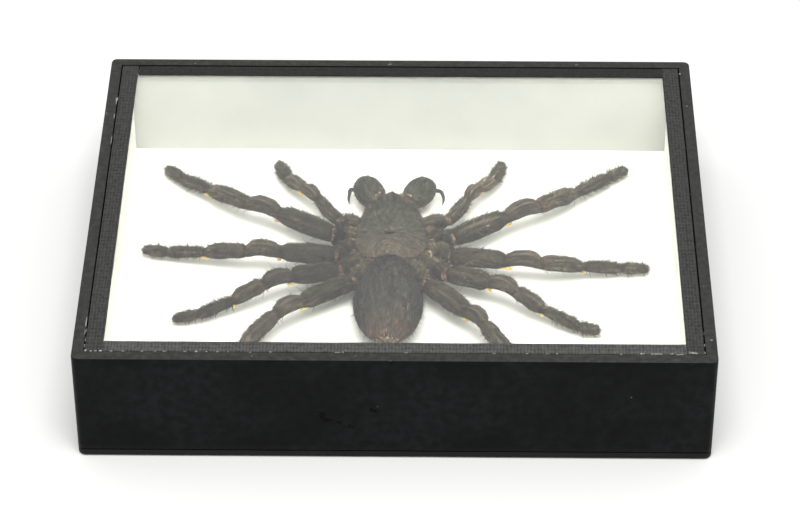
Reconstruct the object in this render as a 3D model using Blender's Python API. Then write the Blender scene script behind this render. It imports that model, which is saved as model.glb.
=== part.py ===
"""A dried tarantula, legs spread, in a black shadow box that lies with its glass up.

Design values are in millimetres and are turned into metres when a mesh is made.
The origin is the middle of the underside: +X right, +Y towards the far wall, +Z up out of the glass.
"""

import math

import bmesh
import bpy
from mathutils import Matrix, Vector

MM = 0.001
GAP = 0.3                     # clearance between pieces that touch

# ---- the box ----
BOX_WIDTH = 200.0
BOX_DEPTH = 160.0
BOX_HEIGHT = 40.0
LIP = 3.75                    # wall above the rebate
WALL = 6.0                    # wall below the rebate
LINING = 1.0                  # card strips inside the walls
BACK_PANEL = 2.2
FLOOR = 5.4                   # top of the white backing
GLASS = 2.0
LEDGE = 36.8                  # height of the rebate that carries the glass
GLASS_INSET = 4.4             # from the outside of the box to the edge of the pane
TAPE_INSET = 4.05
TAPE_THICKNESS = 0.3
TAPE_INNER_X = 90.3           # inner edges of the tape
TAPE_FRONT_Y = -71.0
TAPE_BACK_Y = 70.8
CORNER_ROUND = 2.0
EDGE_ROUND = 0.4

# ---- the animal: heights are above the white backing ----
BODY_X = -2.3                 # the animal lies a little left of the middle

CARAPACE_HALF_WIDTH = 11.5
CARAPACE_HALF_LENGTH = 15.6
CARAPACE_Y = 19.3
CARAPACE_TAPER = 0.24         # narrower towards the head
CARAPACE_FRONT_POWER = 4.0    # blunt front
CARAPACE_REAR_POWER = 2.8
MARGIN_HEIGHT = 6.2
DOME_HEIGHT = 3.4
FRONT_RISE = 3.0              # the margin is higher at the head
FRONT_FLATTENING = 2.2
HEAD_HEIGHT = 1.2
TUBERCLE_HEIGHT = 2.9
FURROW_DEPTH = 0.45
FURROW_COUNT = 8
FOVEA_DEPTH = 0.9

ABDOMEN_X = -2.8
ABDOMEN_Y = -21.0
ABDOMEN_HALF_SIZE = (11.5, 21.5, 8.4)
ABDOMEN_TAPER = 0.12          # slimmer towards the waist
ABDOMEN_REAR_TAPER = 0.17     # and towards the very end
ABDOMEN_CLEARANCE = 1.0       # belly above the backing

CHELICERA_HALF_SIZE = (5.15, 7.1, 4.8)
CHELICERA_BLUNTNESS = 0.08    # fuller towards both ends than an ellipsoid
CHELICERA_HEIGHT = 6.8
CHELICERAE = {                # middle seen from above, and heading in degrees
    "chelicera_left": ((-10.0, 39.3), 116),
    "chelicera_right": ((6.9, 39.1), 57),
}

FANGS = {                     # base to tip, seen from above
    "fang_left": ((-16.4, 44.8), (-16.9, 44.2), (-17.1, 42.4), (-17.3, 40.5), (-17.0, 38.4)),
    "fang_right": ((13.4, 44.4), (14.3, 44.0), (15.1, 42.3), (15.3, 40.4), (14.8, 38.0)),
}
FANG_HEIGHTS = (3.7, 3.7, 3.3, 2.8, 2.3)
FANG_RADII = (0.7, 0.8, 0.7, 0.45, 0.15)

# joints of each leg seen from above, from the carapace outwards:
# coxa, trochanter, femur, patella, tibia, metatarsus, tip
LEG_JOINTS = {
    "leg_1_left": ((-15.8, 16.9), (-20.8, 15.3), (-40.5, 25.5), (-51.0, 30.5),
                   (-64.5, 42.0), (-75.0, 51.0), (-80.5, 57.5)),
    "leg_2_left": ((-16.3, 11.1), (-20.0, 5.1), (-39.5, 4.5), (-50.5, 5.0),
                   (-64.5, 8.0), (-77.5, 10.5), (-85.5, 12.5)),
    "leg_3_left": ((-13.5, 4.5), (-18.6, -2.9), (-35.5, -8.5), (-44.0, -12.5),
                   (-54.0, -17.4), (-65.5, -22.1), (-73.2, -23.6)),
    "leg_4_left": ((-9.9, 0.8), (-14.6, -8.7), (-31.5, -21.5), (-39.5, -28.0),
                   (-50.0, -41.0), (-57.5, -55.5), (-61.5, -63.0)),
    "leg_1_right": ((11.2, 16.9), (17.3, 13.7), (36.5, 24.0), (47.0, 29.5),
                    (60.5, 41.5), (72.0, 53.0), (78.5, 58.5)),
    "leg_2_right": ((11.5, 10.9), (16.9, 4.7), (36.5, 0.5), (47.5, -0.5),
                    (61.5, 1.5), (74.5, 3.5), (83.5, 4.0)),
    "leg_3_right": ((9.2, 4.6), (15.5, -3.8), (31.0, -11.0), (39.0, -15.5),
                    (48.0, -21.0), (59.5, -27.0), (66.0, -28.5)),
    "leg_4_right": ((5.6, 1.3), (9.6, -9.6), (23.5, -26.5), (28.7, -32.4),
                    (37.2, -45.9), (44.2, -59.4), (47.7, -66.4)),
}
LEG_HEIGHTS = (5.0, 6.8, 8.2, 8.2, 5.1, 2.9, 2.4)
LEG_GIRTH = {"leg_1": 1.0, "leg_2": 0.96, "leg_3": 0.95, "leg_4": 0.96}

# coxa, trochanter, femur, patella, tibia, tip
PALP_JOINTS = {
    "palp_left": ((-14.1, 24.0), (-19.5, 23.5), (-27.5, 35.0), (-32.5, 42.0),
                  (-38.5, 49.5), (-42.0, 60.0)),
    "palp_right": ((9.3, 24.0), (16.5, 24.0), (23.5, 35.5), (27.0, 42.0),
                   (32.5, 49.0), (35.5, 60.5)),
}
PALP_HEIGHTS = (5.0, 6.6, 7.2, 6.3, 4.4, 2.7)

# one segment: share of its length, radius, and lift above the straight line between its joints
COXA_PROFILE = ((0.0, 2.3, 0), (0.25, 2.75, 0), (0.6, 2.75, 0), (0.78, 3.15, 0), (1.0, 2.7, 0))
FEMUR_PROFILE = ((0.15, 3.3, 0), (0.4, 3.6, 0.2), (0.75, 3.45, 0.2), (0.92, 3.1, 0.1), (1.0, 2.5, 0))
PATELLA_PROFILE = ((0.15, 2.7, 0.9), (0.45, 2.95, 1.8), (0.8, 2.85, 1.4), (1.0, 2.4, 0))
TIBIA_PROFILE = ((0.12, 2.6, 0.2), (0.35, 2.7, 0.4), (0.85, 2.45, 0.2), (1.0, 1.8, 0))
METATARSUS_PROFILE = ((0.1, 1.9, 0), (0.5, 1.95, 0), (0.88, 1.85, 0), (1.0, 1.45, 0))
TARSUS_PROFILE = ((0.15, 1.75, 0), (0.6, 1.75, 0), (0.85, 1.5, 0), (1.0, 0.9, 0))
LEG_PROFILES = (COXA_PROFILE, FEMUR_PROFILE, PATELLA_PROFILE, TIBIA_PROFILE,
                METATARSUS_PROFILE, TARSUS_PROFILE)
PALP_PROFILES = (
    ((0.0, 2.1, 0), (0.3, 2.4, 0), (0.75, 2.3, 0), (1.0, 2.0, 0)),
    ((0.15, 2.1, -0.5), (0.5, 2.2, -1.0), (0.85, 2.2, -0.3), (1.0, 1.95, 0)),
    ((0.2, 2.25, 0.4), (0.6, 2.35, 0.6), (1.0, 1.9, 0)),
    ((0.2, 2.15, 0.2), (0.6, 2.15, 0.1), (1.0, 1.8, 0)),
    ((0.2, 1.95, 0), (0.65, 1.95, 0), (0.88, 1.6, 0), (1.0, 0.9, 0)),
)

# tapering ends fused to the abdomen: both ends and their radii
PEDICEL = ((-2.3, -3.0, 5.5), (-2.3, 3.1, 4.6), 3.0, 1.9)
SPINNERETS = (
    ((-4.6, -40.0, 7.0), (-5.2, -46.0, 8.6), 1.3, 0.6),
    ((-1.0, -40.0, 7.0), (-0.4, -46.0, 8.6), 1.3, 0.6),
)


def new_collection(name):
    collection = bpy.data.collections.new(name)
    bpy.context.scene.collection.children.link(collection)
    return collection


def material(name, color, roughness, transmission=0.0):
    """One plain material with the piece's colour and roughness."""
    mat = bpy.data.materials.new(name)
    mat.use_nodes = True
    shader = mat.node_tree.nodes["Principled BSDF"]
    shader.inputs["Base Color"].default_value = (*color, 1.0)
    shader.inputs["Roughness"].default_value = roughness
    shader.inputs["Transmission Weight"].default_value = transmission
    mat.diffuse_color = (*color, 1.0)
    return mat


def add_object(name, data, mat, collection):
    obj = bpy.data.objects.new(name, data)
    collection.objects.link(obj)
    obj.data.materials.append(mat)
    return obj


def mesh_object(name, bm, mat, collection, smooth=False):
    """Turn a bmesh in millimetres into an object in metres."""
    bmesh.ops.scale(bm, vec=(MM, MM, MM), verts=bm.verts)
    bmesh.ops.recalc_face_normals(bm, faces=bm.faces)
    mesh = bpy.data.meshes.new(name)
    bm.to_mesh(mesh)
    bm.free()
    if smooth:
        mesh.shade_smooth()
    return add_object(name, mesh, mat, collection)


def hide_cutter(obj):
    obj.hide_render = True
    obj.display_type = "WIRE"
    return obj


def boolean(obj, cutter, operation):
    modifier = obj.modifiers.new(cutter.name, "BOOLEAN")
    modifier.object = cutter
    modifier.operation = operation


def box_bmesh(low, high):
    """A cube primitive stretched between two corners."""
    bm = bmesh.new()
    bmesh.ops.create_cube(bm, size=1.0)
    size = [b - a for a, b in zip(low, high)]
    middle = [(a + b) / 2 for a, b in zip(low, high)]
    bmesh.ops.scale(bm, vec=size, verts=bm.verts)
    bmesh.ops.translate(bm, vec=middle, verts=bm.verts)
    return bm


def slab(name, low, high, mat, collection):
    return mesh_object(name, box_bmesh(low, high), mat, collection)


# ---- the box ----

def make_envelope(mat, cutters):
    """The outside of the whole box, with round upright corners and a softened top rim."""
    bm = box_bmesh((-BOX_WIDTH / 2, -BOX_DEPTH / 2, 0), (BOX_WIDTH / 2, BOX_DEPTH / 2, BOX_HEIGHT))
    upright = [e for e in bm.edges if abs(e.verts[0].co.z - e.verts[1].co.z) > GAP]
    bmesh.ops.bevel(bm, geom=upright, offset=CORNER_ROUND, segments=4, profile=0.5, affect="EDGES")
    rim = [e for e in bm.edges if min(v.co.z for v in e.verts) > BOX_HEIGHT - GAP]
    bmesh.ops.bevel(bm, geom=rim, offset=EDGE_ROUND, segments=2, profile=0.5, affect="EDGES")
    return hide_cutter(mesh_object("box_envelope", bm, mat, cutters))


def rail_section():
    """The wall's section, oversize on the outside: distance in from the box's side, and height."""
    spare = 1.0
    bottom = BACK_PANEL + GAP
    top = BOX_HEIGHT + spare
    return ((-spare, bottom), (-spare, top), (LIP, top), (LIP, LEDGE), (WALL, LEDGE), (WALL, bottom))


def rail_bmesh(length, depth):
    """One wall along X at -Y, its section extruded and both ends cut to a mitre."""
    spare = 2.0
    bm = bmesh.new()
    start = -length / 2 - spare
    section = [bm.verts.new((start, inset - depth / 2, height)) for inset, height in rail_section()]
    swept = bmesh.ops.extrude_face_region(bm, geom=[bm.faces.new(section)])["geom"]
    end = [item for item in swept if isinstance(item, bmesh.types.BMVert)]
    bmesh.ops.translate(bm, vec=(length + 2 * spare, 0, 0), verts=end)
    for side in (-1, 1):
        corner = Vector((side * (length / 2 - GAP * 0.7), -depth / 2, 0))
        cut = bmesh.ops.bisect_plane(bm, geom=bm.verts[:] + bm.edges[:] + bm.faces[:],
                                     plane_co=corner, plane_no=(side, 1, 0), clear_outer=True)
        rim = [item for item in cut["geom_cut"] if isinstance(item, bmesh.types.BMEdge)]
        bmesh.ops.holes_fill(bm, edges=rim)
    return bm


def make_walls(mat, collection, envelope):
    quarter = math.pi / 2
    for name, length, depth, turn in (("wall_front", BOX_WIDTH, BOX_DEPTH, 0),
                                      ("wall_right", BOX_DEPTH, BOX_WIDTH, quarter),
                                      ("wall_back", BOX_WIDTH, BOX_DEPTH, 2 * quarter),
                                      ("wall_left", BOX_DEPTH, BOX_WIDTH, -quarter)):
        bm = rail_bmesh(length, depth)
        bmesh.ops.rotate(bm, cent=(0, 0, 0), matrix=Matrix.Rotation(turn, 3, "Z"), verts=bm.verts)
        boolean(mesh_object(name, bm, mat, collection), envelope, "INTERSECT")


def make_back_panel(mat, collection):
    half_x = BOX_WIDTH / 2
    half_y = BOX_DEPTH / 2
    bm = box_bmesh((-half_x, -half_y, 0), (half_x, half_y, BACK_PANEL))
    upright = [e for e in bm.edges if abs(e.verts[0].co.z - e.verts[1].co.z) > GAP]
    bmesh.ops.bevel(bm, geom=upright, offset=CORNER_ROUND, segments=4, profile=0.5, affect="EDGES")
    mesh_object("back_panel", bm, mat, collection)


def make_backing_and_lining(mat, collection):
    inner_x = BOX_WIDTH / 2 - WALL - GAP
    inner_y = BOX_DEPTH / 2 - WALL - GAP
    slab("backing", (-inner_x, -inner_y, BACK_PANEL + GAP), (inner_x, inner_y, FLOOR), mat, collection)
    low = FLOOR + GAP
    for name, side in (("lining_front", -1), ("lining_back", 1)):
        near, far = sorted((side * (inner_y - LINING), side * inner_y))
        slab(name, (-inner_x, near, low), (inner_x, far, LEDGE), mat, collection)
    between = inner_y - LINING - GAP
    for name, side in (("lining_left", -1), ("lining_right", 1)):
        near, far = sorted((side * (inner_x - LINING), side * inner_x))
        slab(name, (near, -between, low), (far, between, LEDGE), mat, collection)


def make_glass(mat, collection):
    half_x = BOX_WIDTH / 2 - GLASS_INSET
    half_y = BOX_DEPTH / 2 - GLASS_INSET
    bottom = LEDGE + GAP
    slab("glass", (-half_x, -half_y, bottom), (half_x, half_y, bottom + GLASS), mat, collection)


def make_tape(mat, collection):
    outer_x = BOX_WIDTH / 2 - TAPE_INSET
    outer_y = BOX_DEPTH / 2 - TAPE_INSET
    low = LEDGE + GAP + GLASS + GAP
    high = low + TAPE_THICKNESS
    for name, side in (("tape_left", -1), ("tape_right", 1)):
        near, far = sorted((side * TAPE_INNER_X, side * outer_x))
        slab(name, (near, -outer_y, low), (far, outer_y, high), mat, collection)
    end = TAPE_INNER_X - GAP
    slab("tape_front", (-end, -outer_y, low), (end, TAPE_FRONT_Y, high), mat, collection)
    slab("tape_back", (-end, TAPE_BACK_Y, low), (end, outer_y, high), mat, collection)


# ---- limbs: tubes along a bent line, thick and thin along each segment ----

def above_floor(plan, height):
    return Vector((*plan, FLOOR + height))


def limb_points(joints, heights, profiles, girth):
    """Points of the limb's middle line, each with its radius."""
    line = [above_floor(plan, height) for plan, height in zip(joints, heights)]
    points = []
    for start, end, profile in zip(line[:-1], line[1:], profiles):
        for share, radius, lift in profile:
            points.append((start.lerp(end, share) + Vector((0, 0, lift)), radius * girth))
    tip, tip_radius = points[-1]
    beyond = (tip - line[-2]).normalized()
    points.append((tip + beyond * tip_radius / 2, tip_radius / 2))
    return points


def make_tube(name, points, mat, collection):
    """A tapering tube as a curve with filled caps."""
    curve = bpy.data.curves.new(name, "CURVE")
    curve.dimensions = "3D"
    curve.bevel_depth = MM
    curve.bevel_resolution = 3
    curve.use_fill_caps = True
    spline = curve.splines.new("POLY")
    spline.points.add(len(points) - 1)
    for knot, (place, radius) in zip(spline.points, points):
        knot.co = (*(place * MM), 1.0)
        knot.radius = radius
    spline.use_smooth = True
    return add_object(name, curve, mat, collection)


def make_limbs(mat, collection):
    for name, joints in LEG_JOINTS.items():
        girth = LEG_GIRTH[name[:len("leg_1")]]
        make_tube(name, limb_points(joints, LEG_HEIGHTS, LEG_PROFILES, girth), mat, collection)
    for name, joints in PALP_JOINTS.items():
        make_tube(name, limb_points(joints, PALP_HEIGHTS, PALP_PROFILES, 1.0), mat, collection)


def make_fangs(mat, collection):
    for name, plan in FANGS.items():
        places = [above_floor(point, height) for point, height in zip(plan, FANG_HEIGHTS)]
        make_tube(name, list(zip(places, FANG_RADII)), mat, collection)


# ---- body ----

def power(value, exponent):
    return math.copysign(abs(value) ** exponent, value)


def carapace_margin(angle, spread):
    """The carapace's outline about its middle: pear shaped, with a blunt front."""
    sine = math.sin(angle)
    exponent = 2 / (CARAPACE_FRONT_POWER if sine > 0 else CARAPACE_REAR_POWER)
    along = power(sine, exponent)
    across = power(math.cos(angle), exponent) * (1 - CARAPACE_TAPER * along)
    return (CARAPACE_HALF_WIDTH + spread) * across, (CARAPACE_HALF_LENGTH + spread) * along


def bump(x, y, middle_y, reach_x, reach_y):
    return math.exp(-(x / reach_x) ** 2 - ((y - middle_y) / reach_y) ** 2)


def carapace_height(angle, share, x, y):
    """Height of the carapace's top at a share of the way out to its margin."""
    front = max(0.0, math.sin(angle)) ** 2
    height = MARGIN_HEIGHT + FRONT_RISE * front
    height += (DOME_HEIGHT - FRONT_FLATTENING * front) * (1 - share ** 2.4)
    height += HEAD_HEIGHT * bump(x, y, 5.8, 6.0, 6.5)
    height += TUBERCLE_HEIGHT * bump(x, y, 12.7, 2.4, 1.7)
    furrow = 0.5 - 0.5 * math.cos(FURROW_COUNT * (angle + math.pi / 2))
    height -= 4 * FURROW_DEPTH * furrow * share * (1 - share) * (1 - front)
    return height - FOVEA_DEPTH * bump(x, y, -5.3, 1.6, 0.7)


def prosoma_rings(spokes, spread):
    """Rings from the top of the dome out to the margin, then under it to the sternum."""
    angles = [2 * math.pi * i / spokes for i in range(spokes)]
    rings = []
    for share in (0.12, 0.24, 0.36, 0.48, 0.6, 0.72, 0.82, 0.9, 0.96, 1.0):
        ring = []
        for angle in angles:
            x, y = (share * value for value in carapace_margin(angle, spread))
            ring.append((x, y, carapace_height(angle, share, x, y) + spread))
        rings.append(ring)
    for share, height in ((0.97, 5.0), (0.75, 3.0), (0.55, 1.0)):
        ring = [tuple(share * value for value in carapace_margin(angle, spread)) for angle in angles]
        rings.append([(x, y, height - spread) for x, y in ring])
    return rings


def loft(rings, top, bottom):
    """Closed skin over stacked rings, with a point at each end."""
    bm = bmesh.new()
    count = len(rings[0])
    loops = [[bm.verts.new(point) for point in ring] for ring in rings]
    for upper, lower in zip(loops[:-1], loops[1:]):
        for i in range(count):
            j = (i + 1) % count
            bm.faces.new((upper[i], upper[j], lower[j], lower[i]))
    for loop, end in ((loops[0], top), (loops[-1], bottom)):
        tip = bm.verts.new(end)
        for i in range(count):
            bm.faces.new((loop[i], loop[(i + 1) % count], tip))
    return bm


def prosoma_bmesh(spokes, spread):
    top = (0, 0, carapace_height(0, 0, 0, 0) + spread)
    bm = loft(prosoma_rings(spokes, spread), top, (0, 0, 0.7 - spread))
    bmesh.ops.translate(bm, vec=(BODY_X, CARAPACE_Y, FLOOR), verts=bm.verts)
    return bm


def make_prosoma(mat, collection, cutters):
    """The prosoma, and a slightly larger copy that its neighbours are cut with."""
    mesh_object("prosoma", prosoma_bmesh(36, 0.0), mat, collection, smooth=True)
    clearance = mesh_object("prosoma_clearance", prosoma_bmesh(36, GAP), mat, cutters)
    return hide_cutter(clearance)


def egg_bmesh(half_size, taper, end_taper, bluntness, columns, rows):
    """A sphere primitive stretched along Y, slimmer towards +Y by its taper and at the -Y end."""
    bm = bmesh.new()
    bmesh.ops.create_uvsphere(bm, u_segments=columns, v_segments=rows, radius=1.0)
    for vert in bm.verts:
        x, y, z = vert.co.x, vert.co.z, vert.co.y
        slim = (1 - taper * y) * (1 - end_taper * max(0.0, -y) ** 3)
        slim *= max(1 - y * y, 0.01) ** -bluntness
        vert.co = (x * half_size[0] * slim, y * half_size[1], z * half_size[2] * slim)
    return bm


def make_chelicerae(mat, collection, clearance):
    for name, (plan, heading) in CHELICERAE.items():
        bm = egg_bmesh(CHELICERA_HALF_SIZE, -0.02, 0.0, CHELICERA_BLUNTNESS, 18, 12)
        turn = Matrix.Rotation(math.radians(heading - 90), 3, "Z")
        bmesh.ops.rotate(bm, cent=(0, 0, 0), matrix=turn, verts=bm.verts)
        bmesh.ops.translate(bm, vec=above_floor(plan, CHELICERA_HEIGHT), verts=bm.verts)
        boolean(mesh_object(name, bm, mat, collection, smooth=True), clearance, "DIFFERENCE")


def cone_bmesh(start, end, start_radius, end_radius):
    """A cone primitive between two points."""
    start = above_floor(start[:2], start[2])
    end = above_floor(end[:2], end[2])
    along = end - start
    bm = bmesh.new()
    bmesh.ops.create_cone(bm, cap_ends=True, segments=10, radius1=start_radius, radius2=end_radius,
                          depth=along.length)
    turn = along.to_track_quat("Z", "Y").to_matrix()
    bmesh.ops.rotate(bm, cent=(0, 0, 0), matrix=turn, verts=bm.verts)
    bmesh.ops.translate(bm, vec=(start + end) / 2, verts=bm.verts)
    return bm


def make_abdomen(mat, collection, cutters):
    """The egg shaped abdomen with its narrow waist and two spinnerets fused to it."""
    bm = egg_bmesh(ABDOMEN_HALF_SIZE, ABDOMEN_TAPER, ABDOMEN_REAR_TAPER, 0.0, 28, 18)
    place = above_floor((ABDOMEN_X, ABDOMEN_Y), ABDOMEN_HALF_SIZE[2] + ABDOMEN_CLEARANCE)
    bmesh.ops.translate(bm, vec=place, verts=bm.verts)
    abdomen = mesh_object("abdomen", bm, mat, collection, smooth=True)
    for i, ends in enumerate((PEDICEL, *SPINNERETS)):
        cone = hide_cutter(mesh_object(f"abdomen_end_{i}", cone_bmesh(*ends), mat, cutters))
        boolean(abdomen, cone, "UNION")


def build():
    for obj in list(bpy.data.objects):
        bpy.data.objects.remove(obj, do_unlink=True)
    parts = new_collection("framed_tarantula")
    cutters = new_collection("cutters")
    black_paint = material("black_paint", (0.012, 0.012, 0.013), 0.5)
    white_card = material("white_card", (0.86, 0.87, 0.82), 0.8)
    clear_glass = material("clear_glass", (1.0, 1.0, 1.0), 0.0, transmission=1.0)
    cloth_tape = material("cloth_tape", (0.02, 0.02, 0.02), 0.6)
    hide = material("hide", (0.07, 0.06, 0.05), 0.75)
    velvet = material("velvet", (0.05, 0.05, 0.045), 0.9)
    horn = material("horn", (0.02, 0.017, 0.015), 0.25)

    envelope = make_envelope(black_paint, cutters)
    make_back_panel(black_paint, parts)
    make_walls(black_paint, parts, envelope)
    make_backing_and_lining(white_card, parts)
    make_glass(clear_glass, parts)
    make_tape(cloth_tape, parts)

    clearance = make_prosoma(hide, parts, cutters)
    make_abdomen(velvet, parts, cutters)
    make_chelicerae(hide, parts, clearance)
    make_fangs(horn, parts)
    make_limbs(hide, parts)


build()
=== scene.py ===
"""Looks of a framed tarantula: painted box, taped glass, white card and the dried spider itself.

Shapes are worked out in millimetres in the row frame and turned into metres when a mesh is made.
"""

import math
from collections import namedtuple

import bpy
import numpy as np
from mathutils import Matrix, Vector


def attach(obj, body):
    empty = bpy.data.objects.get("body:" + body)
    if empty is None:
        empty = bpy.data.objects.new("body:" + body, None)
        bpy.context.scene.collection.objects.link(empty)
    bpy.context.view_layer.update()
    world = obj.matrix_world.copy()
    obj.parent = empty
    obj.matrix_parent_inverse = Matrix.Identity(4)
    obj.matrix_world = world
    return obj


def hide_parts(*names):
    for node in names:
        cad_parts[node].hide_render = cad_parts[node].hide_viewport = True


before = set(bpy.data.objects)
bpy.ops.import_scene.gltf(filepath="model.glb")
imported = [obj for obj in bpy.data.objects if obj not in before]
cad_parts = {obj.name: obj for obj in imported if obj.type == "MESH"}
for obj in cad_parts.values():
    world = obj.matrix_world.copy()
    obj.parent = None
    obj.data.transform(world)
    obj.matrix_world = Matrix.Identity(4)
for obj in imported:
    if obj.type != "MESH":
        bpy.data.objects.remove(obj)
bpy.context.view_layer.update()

MM = 0.001
UP = np.array((0.0, 0.0, 1.0))

# ---- view: metres and degrees ----
CAMERA_PLACE = (0.01145, -0.83272, 0.68667)
CAMERA_TURN = (38.811, -0.732, -0.111)      # pitch, yaw and roll
FOCAL_PIXELS = 3220.47
PHOTO_WIDTH = 800            # in pixels
SENSOR_WIDTH = 36.0          # in millimetres
LAMP_PLACE = Vector((0.04, -0.5, 1.5))
LAMP_SIZE = (0.8, 0.6)
LAMP_WATTS = 16.0
SKY_STRENGTH = 0.92
GROUND_SIZE = 8.0
GROUND_Z = -0.0004           # just under the box

# ---- box ----
HALF_X = 100.0
HALF_Y = 80.0
HEIGHT = 40.0
PAINT_TOP = HEIGHT - 0.06    # the painted rim; only the nicks' ragged flakes reach the full height
GAP = 0.3                    # between pieces that lie next to each other
PANEL = 2.2                  # back panel
LIP = 3.75                   # width of the rim beside the rebate
WALL = 6.0
LEDGE = 36.8                 # bottom of the rebate
FLOOR = 5.4                  # top of the white backing
LINING = 1.0
GLASS_LOW = 37.1
GLASS_HIGH = 39.1
GLASS_INSET = 4.4
TAPE_LOW = 39.4
TAPE_HIGH = 39.7
TAPE_OUTER = 4.05
TAPE_INNER_X = 90.3
TAPE_FRONT_Y = -71.0
TAPE_BACK_Y = 70.8
TAPE_TUCK = 0.02             # how far the near and far strips reach into the side strips

# Marks on the front face: x, z, reach across and up, weight. The dents are painted darker as painted shade in
# their hollows; the pale chips are partly painted highlights in and beside the dents.
FRONT_DENTS = ((-22.6, 17.2, 1.3, 1.8, 0.9), (-21.0, 15.4, 1.9, 0.9, 0.85), (-17.4, 14.6, 1.2, 1.0, 0.65),
               (-14.0, 12.6, 1.6, 1.0, 0.6), (-6.9, 19.5, 1.3, 0.8, 0.8), (-1.1, 39.0, 0.7, 0.5, 0.6))
FRONT_CHIPS_AND_GLINTS = ((-5.4, 21.0, 0.35, 0.3, 0.35), (-20.4, 16.5, 0.7, 0.2, 0.05), (-1.3, 39.9, 0.45, 0.35, 0.8))
GLUE_HEIGHT = 39.55
# Beads of glue along the tape; their pale tone is partly painted glints, and the thin ones along the lips'
# inner edges, at x near ±96, are a painted glint line.
GLUE_AND_GLINT_BEADS = (               # x, y, length, width, turn in degrees; along the outer edges of the tape
    (-95.7, -75.6, 0.5, 0.4, 40), (-94.0, -75.9, 0.4, 0.22, 0), (-92.6, -75.8, 0.5, 0.34, -3),
    (-90.9, -75.8, 0.5, 0.36, 3), (-87.7, -75.9, 0.5, 0.4, 0), (-83.9, -75.9, 0.45, 0.4, 0),
    (-78.1, -75.9, 0.4, 0.3, 5), (-74.2, -75.8, 0.45, 0.3, 0), (-71.1, -75.9, 0.5, 0.3, 0),
    (-64.8, -75.9, 0.45, 0.28, 0), (-61.4, -75.9, 0.45, 0.34, 0), (-58.2, -75.9, 0.3, 0.24, 0),
    (-54.8, -75.9, 0.3, 0.26, 0), (-51.5, -75.9, 0.3, 0.22, 0), (-44.6, -76.3, 0.45, 0.42, 0),
    (-38.4, -75.9, 0.3, 0.22, 0), (-17.6, -75.9, 0.9, 0.24, 4), (-16.0, -75.8, 0.4, 0.36, 0),
    (3.6, -75.9, 0.6, 0.18, 0), (30.7, -75.9, 0.5, 0.2, 0), (41.0, -75.9, 0.4, 0.2, 0),
    (47.2, -75.9, 0.45, 0.26, 0), (50.3, -75.9, 0.3, 0.2, 0), (70.0, -75.9, 0.35, 0.26, 0),
    (76.6, -75.6, 0.7, 0.3, 2), (81.0, -75.7, 1.8, 0.3, 1), (85.7, -75.6, 0.5, 0.32, 0),
    (88.2, -75.9, 1.3, 0.26, 12), (92.3, -75.1, 1.3, 0.5, -4), (96.0, -75.0, 0.45, 0.24, 90),
    (96.1, -71.4, 0.6, 0.16, 90), (96.2, -65.6, 0.5, 0.14, 90), (-96.1, -73.4, 0.7, 0.16, 90),
    (-96.1, -70.4, 0.9, 0.13, 90), (-96.1, -66.0, 0.8, 0.12, 90),
)
# Pale nicks in the paint; the long thin ones along the left lip's inner edge, at x near -96.5, are a painted
# glint line.
NICKS_AND_GLINTS = (                    # x, y, length, width, turn in degrees; on top of the lip
    (-96.4, 55.4, 1.9, 0.32, 88), (-96.5, 46.5, 1.4, 0.14, 90), (-96.4, 33.0, 2.6, 0.12, 90),
    (-96.5, -62.5, 2.4, 0.2, 90), (-96.5, -67.0, 1.5, 0.14, 90), (-99.2, 47.9, 0.25, 0.2, 0),
    (-71.0, 77.2, 0.3, 0.22, 20), (-3.5, 77.4, 0.9, 0.25, 8), (96.6, 72.6, 0.5, 0.4, 30),
    (97.8, 53.8, 0.32, 0.26, 0), (98.4, -69.2, 0.4, 0.32, 0), (97.6, -42.8, 0.24, 0.2, 0),
    (61.0, 77.6, 0.5, 0.16, 12), (-12.0, -77.8, 0.22, 0.16, 0), (-44.0, -78.2, 0.3, 0.12, 30),
)
# Specks that can be told apart: x, y, z and size, on the backing, the carapace and the abdomen.
SPECKS = ((-63.0, 60.5, FLOOR + 0.02, 0.28), (-7.7, 21.8, FLOOR + 10.6, 0.24),
          (2.3, -33.1, FLOOR + 15.6, 0.22))
FINE_SPECKS = 26             # on the glass
FINE_REACH = (88, 68)

# ---- animal: heights are above the backing ----
BODY_X = -2.3
CARAPACE_Y = 19.3
CARAPACE_HALF = (11.5, 15.6)
FOVEA = (-0.6, -4.9)         # the slit in the carapace, from its middle
WHORL_Y = -13.6              # middle of the arched lines behind the slit
WHORL_REACH = 8.5
TUBERCLE = (12.7, 2.4, 1.7)  # the hill that bears the eyes: y, reach across and along
EYES = ((0.75, 13.2, 0.5), (1.75, 13.2, 0.36), (1.0, 12.0, 0.28), (1.9, 12.2, 0.3))     # x, y, size
ABDOMEN_AT = (-2.8, -21.0, 9.4)
ABDOMEN_HALF = (11.5, 21.5, 8.4)
RUSTY_STREAKS = (            # both ends, from the abdomen's middle, and depth of colour
    ((-3.3, -18.2), (-3.2, -20.8), 0.6), ((2.7, -16.0), (4.5, -18.1), 0.6),
    ((-6.0, -15.6), (-5.6, -17.4), 0.25), ((0.6, -18.6), (0.5, -20.4), 0.25),
)
SPINNERETS = (               # root and tip of the right ones, from the abdomen's middle line, and their radii
    ((1.8, -39.5, 7.6), (2.4, -45.6, 9.2), 1.15, 0.5), ((0.8, -40.5, 9.3), (0.9, -43.0, 10.2), 0.75, 0.4),
)
SILK = (                     # pale lumps above the spinnerets: x, y, z, size
    (-6.0, -41.0, 9.0, 0.5), (-4.6, -41.6, 10.4, 0.55), (-2.8, -41.9, 10.6, 0.6), (-1.2, -41.7, 10.3, 0.45),
    (0.3, -41.2, 9.3, 0.5),
)
CHELICERA_HALF = (5.15, 7.1, 4.8)
CHELICERAE = {               # middle, heading in degrees and lightness
    "chelicera_left": ((-10.0, 39.3, 6.8), 116, 0.88),
    "chelicera_right": ((6.9, 39.1, 6.8), 57, 1.0),
}
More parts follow.
